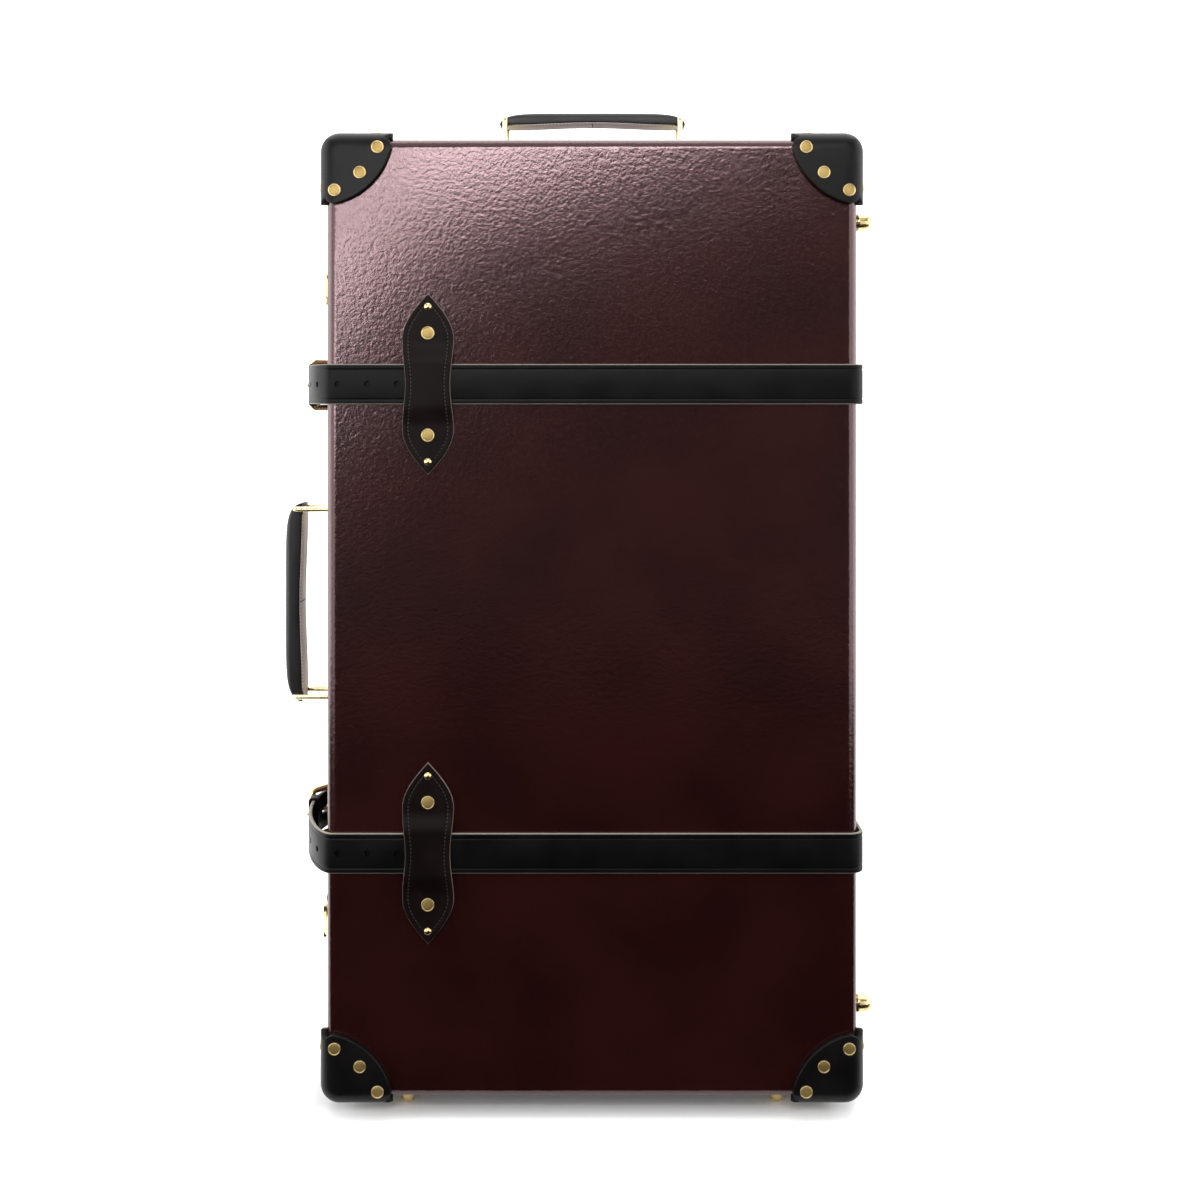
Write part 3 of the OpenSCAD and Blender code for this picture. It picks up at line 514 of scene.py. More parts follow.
def insideRounded(p, grow):
    # depth of a point inside the case's rounded corner, grown by grow; p holds its distances behind
    # the two side planes and the face, positive inside
    r, e = case["cornerR"] + grow, case["edgeR"] + grow
    a, b, c = p[..., 0] + grow, p[..., 1] + grow, p[..., 2] + grow
    wall = np.where((a < r) & (b < r), r - np.hypot(r - a, r - b), np.minimum(a, b))
    return np.where((wall < e) & (c < e), e - np.hypot(e - wall, e - c), np.minimum(wall, c))


def onCorner(sharp, grow):
    # where the ray from a point inside through each point of the sharp corner meets the round skin
    heart = np.full(3, hide["heart"])
    way = sharp - heart
    low, high = np.zeros(sharp.shape[:-1]), np.full(sharp.shape[:-1], 1.2)
    for _ in range(40):
        mid = (low + high) / 2
        inside = insideRounded(heart + way * mid[..., None], grow) > 0
        low, high = np.where(inside, mid, low), np.where(inside, high, mid)
    return heart + way * low[..., None]


def cornerShape(side, up, back=False):
    # rings round the outermost point, by distance from it and angle round the three faces, laid
    # on the round skin; the last rings go straight down the cut edge and run back under the leather
    t, reach, e = hide["thick"], hide["reach"], hide["edgeRound"]
    bend = quarter(5)
    rings = [(d, t) for d in np.concatenate([[0.01], np.linspace(2, reach - e - 1.5, 34), [reach - e]])]
    rings += [(reach - e + e * np.sin(x), t - e + e * np.cos(x)) for x in bend[1:]]
    rings += [(reach, t * 0.5), (reach, 0.05)]
    rings += [(d, 0.05) for d in np.linspace(reach - 4, 2, 12)] + [(0.01, 0.05)]
    angle = quarter(17)[:-1]
    zero = np.zeros(len(angle))
    quarters = np.concatenate([
        columns(np.cos(angle), np.sin(angle), zero),
        columns(zero, np.cos(angle), np.sin(angle)),
        columns(np.sin(angle), zero, np.cos(angle))])
    p = np.concatenate([onCorner(np.maximum(d * quarters - t, -grow), grow) for d, grow in rings])
    p = columns(side * (halfW - p[:, 0]), faceY(back, -p[:, 2]), midZ + up * (halfH - p[:, 1]))
    return p, ringFaces(len(rings), len(quarters))


for up, level in levels:
    for side, hand in ((-1, "left"), (1, "right")):
        corner = f"{level}_{hand}"
        addPiece("lidCorner_" + corner, [cornerShape(side, up)], "lid", cornerLeather,
                 "lid_corner_" + corner)
        if up > 0:
            addPiece("baseCorner_" + corner, [cornerShape(side, up, True)], "base", cornerLeather,
                     "base_corner_" + corner)
print("corners made")


# Rivets, nails and feet

rivet = {"r": 5.0, "h": 1.2, "face": [(47, 13), (33, 33), (13, 47)], "wall": [(43, 19), (19, 43)],
         "loopR": 5.3, "loopAt": 40.5, "nailR": 3.2, "nailAt": 61.5, "nailH": 2.4}


def rivetHead(r, h):
    # the satin face of a capped rivet, very slightly domed, a little below its rim
    return turned([(0.01, -0.3), (r * 0.86, -0.3), (r * 0.86, h * 0.62), (r * 0.78, h * 0.74),
                   (r * 0.4, h * 0.82), (0.01, h * 0.84)], 32)


def rivetRim(r, h):
    # the rolled rim round that face: a bead with a straight skirt under it, in brass paler than the
    # face, partly polish and partly a painted highlight
    a = np.radians(np.linspace(-20, 200, 12))
    w = r * 0.105
    bead = columns(r - w + w * np.cos(a), h - w * 1.0 + w * np.sin(a))
    return turned(np.concatenate([[(r * 0.84, -0.3), (r - 0.02, -0.3)], bead, [(r * 0.84, h * 0.5)]]),
                  32, True)


def nailHead(r, h):
    # a round head on a short neck that stands in the surface
    a = quarter(8)
    return turned(np.concatenate([[(0.01, -0.3), (r * 0.95, -0.3)],
                                  columns(r * np.cos(a) + 0.01, h * np.sin(a))]), 24)


def cornerRivets(side, up, back, head):
    # the heads on one leather corner: on its face, and on both its walls
    out = halfW + hide["thick"], halfH + hide["thick"]
    x, y, z = side * out[0], faceY(back, hide["thick"]), midZ + up * out[1]
    into = -1 if back else 1
    shapes = [standing(head, (x - side * a, y, z - up * b), (0, -into, 0)) for a, b in rivet["face"]]
    for a, b in rivet["wall"]:
        shapes += [standing(head, (x, y + into * b, z - up * a), (side, 0, 0)),
                   standing(head, (x - side * a, y + into * b, z), (0, 0, up))]
    return shapes


loopMidX = -130.0
loop = {"length": 144.0, "wide": 40.8, "waist": 35.5, "thick": 2.6, "rise": 3.3, "bridge": 16.5,
        "ramp": 17.0, "stitchIn": 4.6}


def loopFittings(back, head, at):
    # a head at both ends of both loops, at some distance from the strap's middle
    return [standing(head, (loopMidX, faceY(back, loop["thick"]), strapZ(up) + end * at),
                     (0, 1 if back else -1, 0)) for up in (-1, 1) for end in (-1, 1)]


# the heads stand for the frame's rivets, the rims are extra
for name, form, look in (("Rivets", rivetHead, rivetBrass), ("RivetRims", rivetRim, rimBrass)):
    small, large = form(rivet["r"], rivet["h"]), form(rivet["loopR"], rivet["h"])
    for start, back, node in (("lidCorner", False, "lid_corner"), ("baseCorner", True, "base_corner"),
                              ("frontLoop", False, "front_loop"), ("backLoop", True, "back_loop")):
        shapes = loopFittings(back, large, rivet["loopAt"])
        if "Corner" in start:
            shapes = [shape for side in (-1, 1) for up in ((1,) if back else (-1, 1))
                      for shape in cornerRivets(side, up, back, small)]
        stands = [node + "_rivets"] if form is rivetHead else []
        addPiece(start + name, shapes, "base" if back else "lid", look, *stands)
nail = nailHead(rivet["nailR"], rivet["nailH"])
for back, body, face in boards:
    addPiece(face + "LoopNails", loopFittings(back, nail, rivet["nailAt"]), body, brass)

hinge = {"long": 60.0, "leaf": 1.6, "nailY": 13.5, "nailZ": 21.0, "nailR": 2.0, "nailH": 0.9}


def hingeNails(way):
    # three round-headed nails down the middle of each leaf, on the lid's or the base's side
    low, high = np.array(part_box("lid_hinge_leaves")) * 1000
    far = (high[2] - low[2] - hinge["long"]) / 2
    nail = nailHead(hinge["nailR"], hinge["nailH"])
    y = case["lid"] + case["gap"] / 2 + way * hinge["nailY"]
    return [standing(nail, (halfW + hinge["leaf"], y, midZ + z + k * hinge["nailZ"]),
                     (1, 0, 0)) for z in (-far, 0, far) for k in (-1, 0, 1)]


for way, body in ((-1, "lid"), (1, "base")):
    addPiece(body + "HingeNails", hingeNails(way), body, brass)

foot = {"r": 8.5, "h": 17.0, "flange": 2.5, "y": 31.0, "x": 150.0, "z": 318.0}


def footShape():
    # a domed foot on a thin washer, with a groove between them
    r, h, f = foot["r"], foot["h"], foot["flange"]
    a = quarter(12)
    ball = r - 2.0
    dome = np.concatenate([[(r - 1.5, f + 1.6), (r - 1.6, (h - ball + f) / 2)],
                           columns(ball * np.cos(a) + 0.01, h - ball + ball * np.sin(a))])
    return turned(np.concatenate([[(0.01, 0), (r - 0.3, 0), (r, 0.3), (r, f - 0.5), (r - 0.5, f),
                                   (r - 2.0, f + 0.3), (r - 2.2, f + 0.8)], dome]), 36)


footShapes = [standing(footShape(), (s * foot["x"], foot["y"], caseLow), (0, 0, -1)) for s in (-1, 1)]
footShapes += [standing(footShape(), (halfW, foot["y"], midZ + s * foot["z"]), (1, 0, 0))
               for s in (-1, 1)]
addPiece("domedFeet", footShapes, "lid", brass, "feet")
print("rivets and feet made")


# Strap loops on the front and the back

def spindleHalf(t):
    # half the width: from the waist at t = 0 to the widest place at 0.5 and to a point at 1
    t = np.abs(t)
    near = (loop["waist"] + (loop["wide"] - loop["waist"]) * (1 - np.cos(2 * np.pi * t)) / 2) / 2
    return np.where(t <= 0.5, near, loop["wide"] / 2 * np.cos(np.pi / 2 * (2 * t - 1)))


def bridgeHeight(v):
    # height of the leather's underside: flat on the board, a soft ramp, flat over the strap
    t = np.clip((loop["bridge"] + loop["ramp"] - np.abs(v)) / loop["ramp"], 0, 1)
    return loop["rise"] * t * t * (3 - 2 * t)


def loopShape(up, back):
    # the spindle as a grid along and across; the outer rings turn over the cut edge
    v = np.sin(np.linspace(-np.pi / 2, np.pi / 2, 101)) * loop["length"] / 2 * 0.999
    e, groove = 0.8, loop["stitchIn"]
    half, level = spindleHalf(v / (loop["length"] / 2)), bridgeHeight(v)
    inner = np.maximum(half - e, half * 0.4)
    grid = []
    for u in np.linspace(-1, 1, 45):
        x = u * inner
        dip = 0.42 * np.exp(-((half - np.abs(x) - groove) / 0.7) ** 2) * (half > groove + 2)
        grid.append(columns(x, loop["thick"] - 0.35 + 0.35 * (1 - u * u) - dip + level, v))
    turn = quarter(5)[1:]
    for side in (1, -1):
        edge = [columns(side * (inner + (half - inner) * np.sin(a)),
                        loop["thick"] - 0.35 - e + e * np.cos(a) + level, v) for a in turn]
        edge.append(columns(side * half, level + 0.02, v))
        grid = grid + edge if side == 1 else edge[::-1] + grid
    x, y, z = np.moveaxis(np.stack(grid, 1), -1, 0)
    p = np.stack([loopMidX + x, faceY(back, y), strapZ(up) + z], -1)
    return p.reshape(-1, 3), tubeFaces(*x.shape)


# the spacing, and the length and thickness of the two threads
stitch = {"gap": 3.0, "coarse": (2.1, 0.5), "fine": (2.1, 0.42)}


def stitchShape(size):
    # one stitch: a short thread, round and pinched at both ends, along X
    t, a = np.linspace(0, np.pi, 7)[:, None], circle(8)
    r = size[1] * np.sin(t) ** 0.6 + 0.01
    x = -size[0] / 2 * np.cos(t)
    p = np.stack([np.repeat(x, 8, 1), r * np.cos(a), r * np.sin(a) * 0.7], -1)
    return p.reshape(-1, 3), tubeFaces(7, 8)


def stitchLine(path, outs, size):
    # stitches along a line, each turned to the line and to the surface's outward direction
    s, along = lineLength(path), np.gradient(path, axis=0)
    shapes = []
    for d in np.arange(stitch["gap"] / 2, s[-1], stitch["gap"]):
        p, w, o = (np.array([np.interp(d, s, q[:, k]) for k in range(3)]) for q in (path, along, outs))
        shapes.append(standing(stitchShape(size), p, unitRows(o), unitRows(w)))
    return shapes


def loopStitches(up, back):
    # a row inside both edges of a loop, as far in from the slanting edge as from the straight one
    shapes = []
    for side in (-1, 1):
        v = np.linspace(-0.86, 0.86, 80) * loop["length"] / 2
        half = spindleHalf(v / (loop["length"] / 2))
        x = side * (half - loop["stitchIn"] * np.sqrt(1 + np.gradient(half, v) ** 2))
        keep = side * x > 1.0
        x, v = x[keep], v[keep]
        y = loop["thick"] - 0.3 + bridgeHeight(v)
        path = columns(loopMidX + x, faceY(back, y), strapZ(up) + v)
        out = np.tile([0.0, 1.0 if back else -1.0, 0.0], (len(path), 1))
        shapes += stitchLine(path, out, stitch["coarse"])
    return shapes


for back, body, face in boards:
    for up, level in levels:
        addPiece(f"{face}Loop_{level}", [loopShape(up, back)], body, loopLeather,
                 f"{face}_loop_{level}")
        addPiece(f"{face}LoopStitches_{level}", loopStitches(up, back), body, thread)
print("loops made")


# Straps

strap = {"w": 32.0, "t": 3.0, "off": 2.5, "creaseIn": 4.2, "hole": 5.0, "holeGap": 23.5,
         "firstHole": 24.4, "holes": 7, "slotBack": 45.5, "slotLong": 18.5}
bendX, bendR = halfW - case["edgeR"] + 0.5, case["edgeR"] + strap["off"] - 0.5
midR = bendR + strap["t"] / 2
strapX = halfW + strap["off"] + strap["t"] / 2
heel = {"h": 14.0, "y": 136.0, "d": 4.0, "chape": 44.0}
bendFrom, bendTo = 52.0, 92.0   # the stretch of strap that lies over the hinges


def strapSection(w=strap["w"], t=strap["t"], crease=True):
    # the outer face has a line pressed in along each edge, and both edges are burnished round
    e = 1.05
    x = w / 2
    if crease:
        c = x - strap["creaseIn"]
        marks = [(-c - 1.0, 0), (-c - 0.45, -0.12), (-c, -0.38), (-c + 0.45, -0.12), (-c + 1.2, 0)]
        marks += [(0, 0.02)] + [(-a, b) for a, b in marks[::-1]]
    else:
        marks = [(-x * 0.6, 0), (0, 0.02), (x * 0.6, 0)]
    top = np.array([(a, t / 2 + b) for a, b in marks])
    corner = [arc(x - e, t / 2 - e, e, 90, 0, 4), arc(x - e, -t / 2 + e, e, 0, -90, 4),
              arc(-x + e, -t / 2 + e, e, -90, -180, 4), arc(-x + e, t / 2 - e, e, 180, 90, 4)]
    return np.concatenate([top, *corner])


def strapPath(points, z, step=3.0):
    # the middle line of a strap, at the strap's height
    return atHeight(evenly(np.asarray(points, float), step), z)


def offLeft(h, y):
    # a point so far off the left wall, at depth y
    return np.array([-halfW - h, y])


heelAt = offLeft(heel["h"], heel["y"])
archTop = offLeft(heel["h"] + 13.9, heel["y"] - 38)
tongueLine = np.concatenate([
    [[loopMidX, -strap["t"] / 2]],
    bezier(offLeft(-5, -1.5), offLeft(8, -1.5), archTop - [0, 48], archTop, 40),
    bezier(archTop, archTop + [0, 20], offLeft(heel["h"] + 7.4, heel["y"] + 4),
           offLeft(heel["h"] - 2.5, heel["y"] + 36), 40)[1:]])
frontLine = np.concatenate([[[loopMidX, -strap["t"] / 2]], arc(bendX, bendR, midR, -90, 0, 12),
                            [[strapX, bendFrom]]])
bendLine = np.array([[strapX, bendFrom], [strapX, bendTo]])
foldR = heel["d"] / 2 + 0.05 + strap["t"] / 2
wallH = strap["off"] + strap["t"] / 2


def chapeHeight(y):
    # how far the strap's end stands off the wall, where it rises from the wall to the heel bar
    rise = (1 + np.cos(np.pi * (y - heel["y"]) / heel["chape"])) / 2
    return wallH + (heel["h"] + foldR - wallH) * rise


chapeY = np.linspace(heel["y"] + heel["chape"], heel["y"], 24)
chape = offLeft(chapeHeight(chapeY), chapeY).T
turn = np.linspace(0, np.pi, 14)
fold = heelAt - foldR * columns(np.cos(turn), np.sin(turn))
backY = np.linspace(heel["y"] + 2, heel["y"] + 22, 8)
under = offLeft(chapeHeight(backY) - strap["t"] + 0.1, backY).T
d = case["depth"]
backLine = np.concatenate([[[strapX, bendTo]], arc(bendX, d - bendR, midR, 0, 90, 12),
                           arc(-bendX, d - bendR, midR, 90, 180, 12), chape[:-1], fold, under])


def holeCutters(z):
    # round punched holes along the tongue, and the longer slot for the prong
    s = lineLength(tongueLine)
    along = np.gradient(tongueLine, axis=0)
    spots = [(strap["firstHole"] + k * strap["holeGap"], 0) for k in range(strap["holes"])]
    spots += [(s[-1] - strap["slotBack"], strap["slotLong"])]
    shapes, r = [], strap["hole"] / 2
    for at, long in spots:
        p, w = ([np.interp(at, s, q[:, k]) for k in (0, 1)] for q in (tongueLine, along))
        w = unitRows(np.array(w))
        outline = np.concatenate([arc(long / 2, 0, r, -90, 90, 13), arc(-long / 2, 0, r, 90, 270, 13)])
        # the round holes stop inside the leather: their black floor is a painted shade for a through
        # hole
        low = -4 if long else -strap["t"] / 2 + 0.4   # the holes show black, only the slot goes through
        shape = (np.concatenate([atHeight(outline, low), atHeight(outline, 4)]),
                 tubeFaces(2, len(outline)))
        shapes.append(standing(shape, (*p, z), (-w[1], w[0], 0), (*w, 0)))
    return shapes


def tipWidth(path, back=24.0, least=0.28):
    # the width of the tongue's end, drawn in to a round point
    s = lineLength(path)
    t = np.clip((s[-1] - s) / back, 0, 1)
    return least + (1 - least) * np.sqrt(1 - (1 - t) ** 2)


for up, level in levels:
    z = strapZ(up)
    section = strapSection()
    outward = section * [1, -1]
    addPiece(f"frontStrap_{level}", [sweep(strapPath(frontLine, z), outward, (0, 0, 1))], "lid",
             strapLeather, f"front_strap_{level}")
    path = strapPath(tongueLine, z, 2.0)
    tongue = addPiece(f"tongue_{level}", [sweep(path, section, (0, 0, 1), width=tipWidth(path))], "lid",
                      strapLeather, f"tongue_{level}")
    cutAway(tongue, holeCutters(z))
    creased(tongue, 50)
    piece = addPiece(f"backStrap_{level}", [sweep(strapPath(backLine, z, 2.5), outward, (0, 0, 1))],
                     "base", strapLeather, f"back_strap_{level}")
    slotLow, slotHigh = offLeft(heel["h"] + 10, heel["y"] - 10), offLeft(heel["h"] - 10, heel["y"] + 7)
    cutAway(piece, [blockShape([*slotLow, z - 2.3], [*slotHigh, z + 2.3])], True)
    creased(piece, 50)
    flex = addPiece(f"hingeBend_{level}", [sweep(strapPath(bendLine, z, 1.0), outward, (0, 0, 1))],
                    "base", strapLeather, f"hinge_bend_{level}")
    flex.parent = None
    del flex["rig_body"]
    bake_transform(flex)
print("straps made")


# Keepers

# loose and fixed: where a keeper begins and ends over the heel bar's height, and how far along the
# depth it lies from the heel bar
keeper = {"t": 2.0, "w": 13.0, "gap": 0.4, "loose": (9.7, 18.3, -38), "fixed": (-8.5, 7.8, 18)}


def keeperShape(up, kind):
    # a band of leather bent round the tongue: a soft strip carried round a rounded outline
    low, high, y = np.array(keeper[kind]) + [heel["h"], heel["h"], heel["y"]]
    mid = (low + high) / 2
    outline = roundRect(strap["w"] + 2 * keeper["gap"] + keeper["t"], high - low - keeper["t"], 2.2, 8)
    path = columns(-halfW - mid - outline[:, 1], np.full(len(outline), y), strapZ(up) + outline[:, 0])
    return sweep(path, strapSection(keeper["w"], keeper["t"], False), (0, 1, 0), closed=True)


for up, level in levels:
    for kind, body in (("loose", "lid"), ("fixed", "base")):
        addPiece(f"{kind}Keeper_{level}", [keeperShape(up, kind)], body, keeperLeather,
                 f"{kind}_keeper_{level}")
print("keepers made")


# Buckles

buckle = {"t": 4.4, "side": 5.2, "length": 32.0, "inner": 17.0, "prongT": 2.6, "prongW": 4.0,
          "ringT": 1.6}
tilt = np.radians(34)   # how far the frames lean off the wall
frameWay = np.array([-np.sin(tilt), -np.cos(tilt)])   # from a frame's heel bar to its front bar
frameOut = np.array([-np.cos(tilt), np.sin(tilt)])   # away from the frame's plane


def buckleShapes(up):
    # a cast frame: one round bar carried round a rounded rectangle that tilts off the wall
    start = np.array([*heelAt, strapZ(up)])
    width, length = 2 * buckle["inner"] + buckle["side"], buckle["length"]
    outline = roundRect(width, length, 3.2, 7)
    path = start + outline[:, :1] * [0, 0, 1] + (outline[:, 1:] + length / 2) * [*frameWay, 0]
    a = circle(20)
    bar = columns(buckle["t"] / 2 * np.sign(np.cos(a)) * np.abs(np.cos(a)) ** 0.8,
                  buckle["side"] / 2 * np.sign(np.sin(a)) * np.abs(np.sin(a)) ** 0.8)
    r = heel["d"] / 2 - 0.02
    heelBar = turned([(0.01, -width / 2), (r, -width / 2), (r, width / 2), (0.01, width / 2)], 24)
    # the frame's own bar at the heel is as thin as the heel bar, so that the fold fits round it
    near = np.clip(1 - (outline[:, 1] + length / 2) / 3.0, 0, 1)
    points, faces = sweep(path, bar, [*frameOut, 0], closed=True)
    centre = np.repeat(path, len(bar), 0)
    thin = 1 - np.repeat(near, len(bar))[:, None] * (1 - (heel["d"] - 0.1) / buckle["side"])
    return [(centre + (points - centre) * thin, faces), standing(heelBar, start, (0, 0, 1))]


def prongShapes(up):
    # a tapered, slightly bowed wire from the ring on the heel bar to just past the front bar
    z = strapZ(up)
    above = (buckle["t"] + buckle["prongT"]) / 2 + 0.4
    over = heelAt + buckle["length"] * frameWay + above * frameOut
    bore = heel["d"] / 2 + 0.05
    root = heelAt - [bore + buckle["ringT"], 0]
    flat = bezier(root + [0.6, 0], root + [-3.2, -9], over + [-2.2, 9], over + [-0.4, -3], 30)
    rod, taper = oval(buckle["prongW"], buckle["prongT"], 16), np.linspace(1.0, 0.72, len(flat))
    middle = bore + buckle["ringT"] / 2
    ring = atHeight(heelAt + oval(2 * middle, 2 * middle, 32), z)
    return [sweep(atHeight(flat, z), rod, (0, 0, 1), width=taper),
            sweep(ring, roundRect(buckle["prongW"], buckle["ringT"], 0.6, 4), (0, 0, 1), closed=True)]


for up, level in levels:
    addPiece(f"buckleFrame_{level}", buckleShapes(up), f"buckle_{level}", brass, f"buckle_{level}")
    addPiece(f"bucklePin_{level}", prongShapes(up), f"prong_{level}", brass, f"prong_{level}")
print("buckles made")


# Handles

handle = {"y": 104.0, "w": 28.0, "wire": 4.5, "legs": 34.0, "under": 5.45, "end": 4.65, "inside": 6.0,
          "edgeIn": 0.15, "lining": 0.35, "weltIn": 3.2, "collarR": 4.0, "collarH": 1.5}
sideHandle = {"span": 160.0, "t": 16.0, "rise": 43.0}
topHandle = {"span": 149.0, "t": 11.5, "rise": 33.0}
for part in (sideHandle, topHandle):
    part["reach"] = part["span"] / 2 + handle["end"]   # half the grip's length


def toLeftWall(p):
    # local X along the depth, Y up and Z out of the left wall
    return np.stack([-halfW - p[..., 2], handle["y"] + p[..., 0], midZ + p[..., 1]], -1)


def toTopWall(p):
    # local X along the depth, Y along the case's width and Z out of the top
    return np.stack([-p[..., 1], handle["y"] + p[..., 0], midZ + halfH + p[..., 2]], -1)


def gripProfile(part, y):
    # the grip's form at each place along it: its underside, how thick its upright edge is and how
    # far the crown rises over that; the underside bows up a little between the wire loops
    t = np.clip(np.abs(y) / part["reach"], 0, 0.9995)
    full = np.sqrt(1 - t ** 10)
    low = 2.0 * np.cos(np.pi / 2 * np.clip(t * 1.1, 0, 1)) ** 2
    crown = 0.28 * part["t"] * np.sqrt(1 - t ** 4.5)
    return -handle["under"] + low, (0.72 * part["t"] - low) * full, crown


def gripShape(part, place):
    # sections along the grip: a flat underside, upright edges and a crown with a stitched welt line
    y = part["reach"] * 0.9995 * np.sin(np.linspace(-np.pi / 2, np.pi / 2, 101))
    low, edge, crown = (v[:, None] for v in gripProfile(part, y))
    half = handle["w"] / 2 - handle["edgeIn"]
    soft = np.minimum(1.1, edge * 0.4)
    a = quarter(5)
    u = np.linspace(-1, 1, 25)
    fromEdge = half * (1 - np.abs(u))
    welt = 0.35 * np.exp(-((fromEdge - handle["weltIn"]) / 0.7) ** 2)
    top = [(np.full_like(y, half * k)[:, None], low + edge + crown * (1 - np.abs(k) ** 2.4)
            - w * (edge > 2)) for k, w in zip(u[1:-1], welt[1:-1])]
    right = [(half - soft + soft * np.cos(k), low + edge - soft + soft * np.sin(k)) for k in a[::-1]]
    right += [(half - soft + soft * np.cos(k), low + soft - soft * np.sin(k)) for k in a]
    left = [(-x, z) for x, z in right[::-1]]
    ring = right + left + top
    x, z = (np.concatenate([np.broadcast_to(p[k], low.shape) for p in ring], 1) for k in (0, 1))
    p = place(np.stack([x, np.broadcast_to(y[:, None], x.shape), z + part["rise"]], -1))
    return p.reshape(-1, 3), tubeFaces(*x.shape)


def gripLining(part, place):
    # a pale panel sewn over the underside, a little proud of it
    y = np.linspace(-1, 1, 61) * (part["reach"] - 3.5)
    low = gripProfile(part, y)[0]
    half = (handle["w"] / 2 - 1.2) * (1 - np.clip(np.abs(y) / y[-1], 0, 0.999) ** 24) ** 0.5
    proud = -handle["lining"]
    ring = [(1, 0.3), (1, -0.2), (0.985, proud), (-0.985, proud), (-1, -0.2), (-1, 0.3)]
    p = np.stack([columns(half * k, y, low + h + part["rise"]) for k, h in ring], 1)
    return place(p).reshape(-1, 3), tubeFaces(len(y), len(ring))


def gripStitches(part, place):
    # rows of stitches along both edges of the crown and of the underside, and across the butt joint
    # in the middle of the underside
    y = np.linspace(-1, 1, 90) * (part["reach"] - 6)
    low, edge, crown = gripProfile(part, y)
    half = handle["w"] / 2 - handle["edgeIn"]
    u = 1 - handle["weltIn"] / half
    high = low + edge + crown * (1 - u ** 2.4) - 0.2
    x = np.linspace(-handle["w"] / 2 + 3.5, handle["w"] / 2 - 3.5, 20)
    joint = columns(x, np.zeros(20), np.full(20, -handle["under"] + 1.65 + part["rise"]))
    rows = []
    for side in (-1, 1):
        for x, z, out in ((handle["w"] / 2 - 2.6, low - handle["lining"], -1.0), (u * half, high, 1.0)):
            rows.append((columns(np.full(len(y), side * x), y, z + part["rise"]), out, "fine"))
    shapes = []
    for line, out, size in rows + [(joint, -1.0, "coarse")]:
        shapes += stitchLine(place(line), place(line + [0, 0, out]) - place(line), stitch[size])
    return shapes


def wireShapes(part, place):
    # bent wire: two legs and an outer bar with small round bends, and a collar on each leg's end
    bend = (handle["legs"] - handle["w"]) / 2
    far, bar = handle["legs"] / 2, handle["legs"] / 2 - bend
    legEnd = -(sideHandle["rise"] + handle["inside"])
    rod = oval(handle["wire"], handle["wire"], 20)
    line = np.concatenate([[(-far, legEnd), (-far, -bend)], arc(-bar, -bend, bend, 180, 90, 8),
                           arc(bar, -bend, bend, 90, 0, 8), [(far, -bend), (far, legEnd)]])
    line = evenly(line, 2.0)
    along, out = (place(np.array(way)) - place(np.zeros(3)) for way in ([0, 1.0, 0], [0, 0, 1.0]))
    r, h = handle["collarR"], handle["collarH"]
    collar = turned([(0.01, 0), (r, 0), (r, h), (0.01, h)], 24)
    shapes = []
    for end in (-1, 1):
        y = end * part["span"] / 2
        path = place(columns(line[:, 0], np.full(len(line), y), line[:, 1] + part["rise"]))
        shapes.append(sweep(path, rod, unitRows(along)))
        for leg in (-1, 1):
            shapes.append(standing(collar, place(np.array([leg * far, y, legEnd + part["rise"]])), out))
    return shapes


for part, place, name in ((sideHandle, toLeftWall, "side"), (topHandle, toTopWall, "top")):
    body = f"{name}_handle"
    addPiece(f"{name}Grip", [gripShape(part, place)], body, gripLeather, f"{name}_grip")
    addPiece(f"{name}GripLining", [gripLining(part, place)], body, paleLeather)
    addPiece(f"{name}GripStitches", gripStitches(part, place), body, thread)
    addPiece(f"{name}WireLoops", wireShapes(part, place), body, wireBrass, f"{name}_wire_loops")
print("handles made")


# Linings: cloth glued inside the trays
inside = -case["board"]
for (back, body, _), depth in zip(boards, (58.0, 137.6)):
    piece = addPiece(body + "Lining", [trayShape(depth, inside - 0.02, inside - 1.2, back, 0.4)], body,
                     cloth, body + "_lining")
    if back:
        cutAway(piece, [housingBlock(-1), housingBlock(1)])
    creased(piece, 40)

# Finishes of the frame's own nodes
finishes = {"base_rim": cloth, "wheel_axles": steel}
for name, node in frame["nodes"].items():
    if node.hide_render:
        continue
    look = finishes.get(name, rubber if "tyre" in name else plastic if "wheel" in name else brass)
    if not node.material_slots:
        node.data.materials.append(look)
    for place in node.material_slots:
        place.material = look
print("frame nodes finished")


# Floor, backdrop, lamps and camera

# the paper's colour, its glow under the case (a painted shadow), near and far from it, the case's half
# size on it, where the glow begins and is whole, the cove's radius, bend and height, and the black
# card's corners
stageLook = {"paper": "#E8E8E8", "under": 0.03, "near": 0.55, "far": 0.75, "half": (0.205, 0.085, 0),
             "edge": (0.0, 0.05), "lift": (0.45, 1.3), "front": (-1.7, 0.2), "reach": 2.6, "bend": 0.7,
             "tall": 3.4, "card": ((-2, -2.4), (2, -2.4), (2, -0.13), (-2, -0.13))}


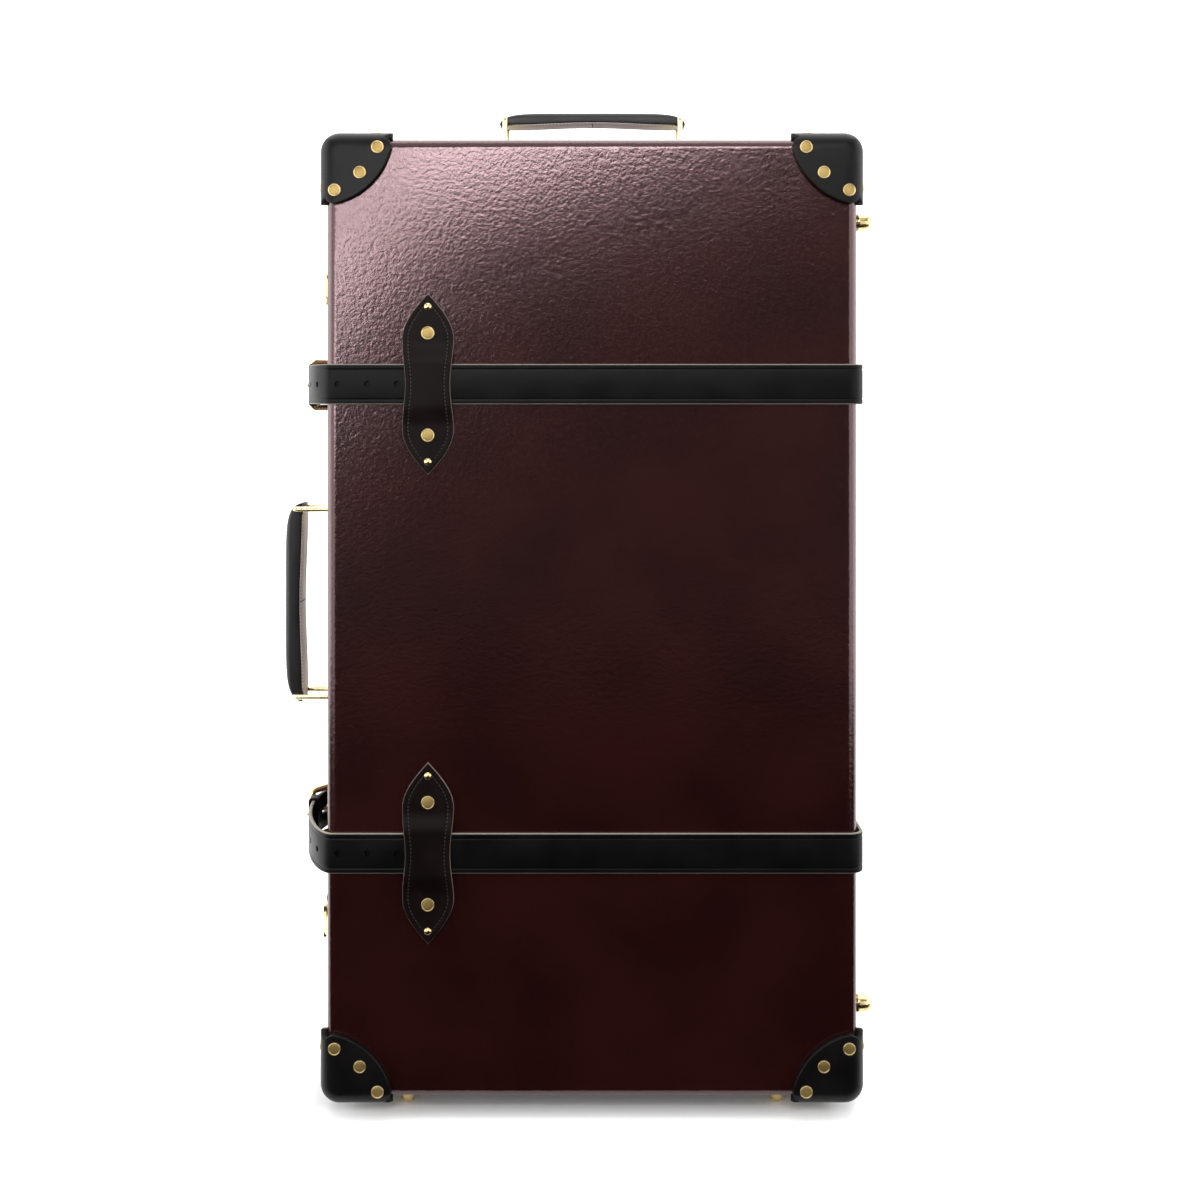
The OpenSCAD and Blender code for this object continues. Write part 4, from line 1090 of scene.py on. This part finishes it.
def makePaper():
    # matt white paper: it takes the object's shadow, and glows for the eye, for polished things and
    # through glass; the glow is faint under the case, which paints a shadow on its footprint, rises
    # with distance, where less lamp light falls, and in front of the case it is for the eye alone
    material, tree, where = startMaterial("WhitePaper")
    vector = {"kind": "VectorMath", "output": "Vector"}
    away = sums("LENGTH", where, kind="VectorMath")
    out = sums("SUBTRACT", sums("ABSOLUTE", where, **vector), stageLook["half"], **vector)
    out = sums("LENGTH", sums("MAXIMUM", out, (0, 0, 0), **vector), kind="VectorMath")
    depth = addNode(tree, "SeparateXYZ", links={0: where}).outputs["Y"]
    behind = spread(depth, 0, 1, *stageLook["front"])
    # painted shadow: the glow falls to its least over the case's footprint and is whole 5 cm outside it
    near = spread(out, stageLook["under"], stageLook["near"], *stageLook["edge"])
    more = spread(away, 0, stageLook["far"] - stageLook["near"], *stageLook["lift"])
    diffuse = addNode(tree, "BsdfDiffuse", {"Color": linearColour(stageLook["paper"])}).outputs[0]
    light = addNode(tree, "LightPath").outputs
    seen = sums("MAXIMUM", light["Is Glossy Ray"], light["Is Transmission Ray"])
    seen = sums("MAXIMUM", sums("MULTIPLY", seen, behind), light["Is Camera Ray"])
    strength = sums("MULTIPLY", seen, sums("ADD", near, more))
    glow = addNode(tree, "Emission", {"Color": (1, 1, 1, 1)}, {"Strength": strength}).outputs[0]
    both = addNode(tree, "AddShader", links={0: diffuse, 1: glow}).outputs[0]
    addNode(tree, "OutputMaterial", links={"Surface": both})
    return material


def coveShape():
    # a disc of floor that turns up into a wall behind and beside the case, and stays flat in front
    a = circle(96)
    high = np.clip((np.sin(a) + 0.72) / 0.2, 0, 1)
    high = high * high * (3 - 2 * high)
    r, b = stageLook["reach"], stageLook["bend"]
    turn = quarter(13)
    flat = np.concatenate([[0.01, 0.3, 0.6, 1.0, 1.5], r - b + b * np.sin(turn), [r, r]])
    tall = stageLook["tall"]
    rise = np.concatenate([np.zeros(5), b - b * np.cos(turn), [tall / 2, tall]])
    points = np.stack([flat[:, None] * np.cos(a), flat[:, None] * np.sin(a), rise[:, None] * high], -1)
    return points.reshape(-1, 3).tolist(), ringFaces(len(flat), len(a)) + [list(range(len(a)))]


def makeCard():
    # black velvet that keeps the lit paper out of the front board's satin reflection
    material = bpy.data.materials.new("BlackVelvet")
    tree = emptyTree(material)
    diffuse = addNode(tree, "BsdfDiffuse", {"Color": (0.002, 0.002, 0.002, 1)}).outputs[0]
    addNode(tree, "OutputMaterial", links={"Surface": diffuse})
    return material


def addSheet(name, points, faces, material):
    # a sheet of the studio, in metres
    mesh = bpy.data.meshes.new(name)
    mesh.from_pydata(points, [], faces)
    mesh.shade_smooth()
    mesh.materials.append(material)
    sheet = newObject(name, mesh)
    return sheet


addSheet("cove", *coveShape(), makePaper())
card = addSheet("card", [(x, y, 0.002) for x, y in stageLook["card"]], [[0, 1, 2, 3]], makeCard())
card.visible_camera, card.visible_shadow = False, False


def addLamp(name, where, aim, size, power, roll=0):
    # a softbox that faces its aim, rolled about that line by some degrees
    data = bpy.data.lights.new(name, "AREA")
    data.shape, data.size, data.size_y, data.energy = "RECTANGLE", size[0], size[1], power
    lamp = newObject(name, data)
    lamp.location = where
    turn = (Vector(aim) - Vector(where)).to_track_quat("-Z", "Y")
    lamp.rotation_euler = (turn @ Quaternion((0, 0, 1), np.radians(roll))).to_euler()


addLamp("topKey", (0.03, -1.5, 1.16), (0.02, -0.11, 0.84), (0.84, 0.22), 9.0, 18.5)
addLamp("leftKey", (-0.56, -1.5, 0.73), (-0.27, -0.11, 0.66), (0.57, 0.18), 3.6, 50)
addLamp("topFill", (0.0, -1.0, 1.75), (0, -0.1, 0.8), (1.5, 0.9), 4.5)
addLamp("leftFill", (-1.02, -1.3, 0.5), (-0.2, 0, 0.5), (0.8, 1.2), 6)
addLamp("rightFill", (1.05, -1.25, 0.5), (0.2, 0, 0.5), (0.8, 1.2), 6)
addLamp("topBox", (0, 0.4, 2.5), (0, 0, 0.2), (3.0, 2.4), 75)
addLamp("leftStrip", (-1.7, -0.25, 0.75), (-0.2, 0, 0.5), (1.6, 2.1), 26)
addLamp("rightStrip", (1.7, -0.15, 0.75), (0.2, 0, 0.5), (1.6, 2.1), 18)

world = bpy.data.worlds.new("studio")
bpy.context.scene.world = world
tree = emptyTree(world)
# the room in front is dark, and white where the eye looks past the paper
rays = addNode(tree, "LightPath").outputs["Is Camera Ray"]
dim, white = (addNode(tree, "Background", {"Color": (1, 1, 1, 1), "Strength": strength}).outputs[0]
              for strength in (0.06, 1.0))
mixed = addNode(tree, "MixShader", links={0: rays, 1: dim, 2: white}).outputs[0]
addNode(tree, "OutputWorld", links={"Surface": mixed})

lens = {"at": (0.0247, -1.290, 0.5754), "mm": 44.57, "shift": -0.1708}
camera = newObject("camera", bpy.data.cameras.new("camera"))
camera.location, camera.rotation_euler = lens["at"], (np.pi / 2, 0, 0)
camera.data.lens, camera.data.shift_y = lens["mm"], lens["shift"]
bpy.context.scene.camera = camera
bpy.context.scene.view_settings.view_transform = "Standard"
print("stage set")
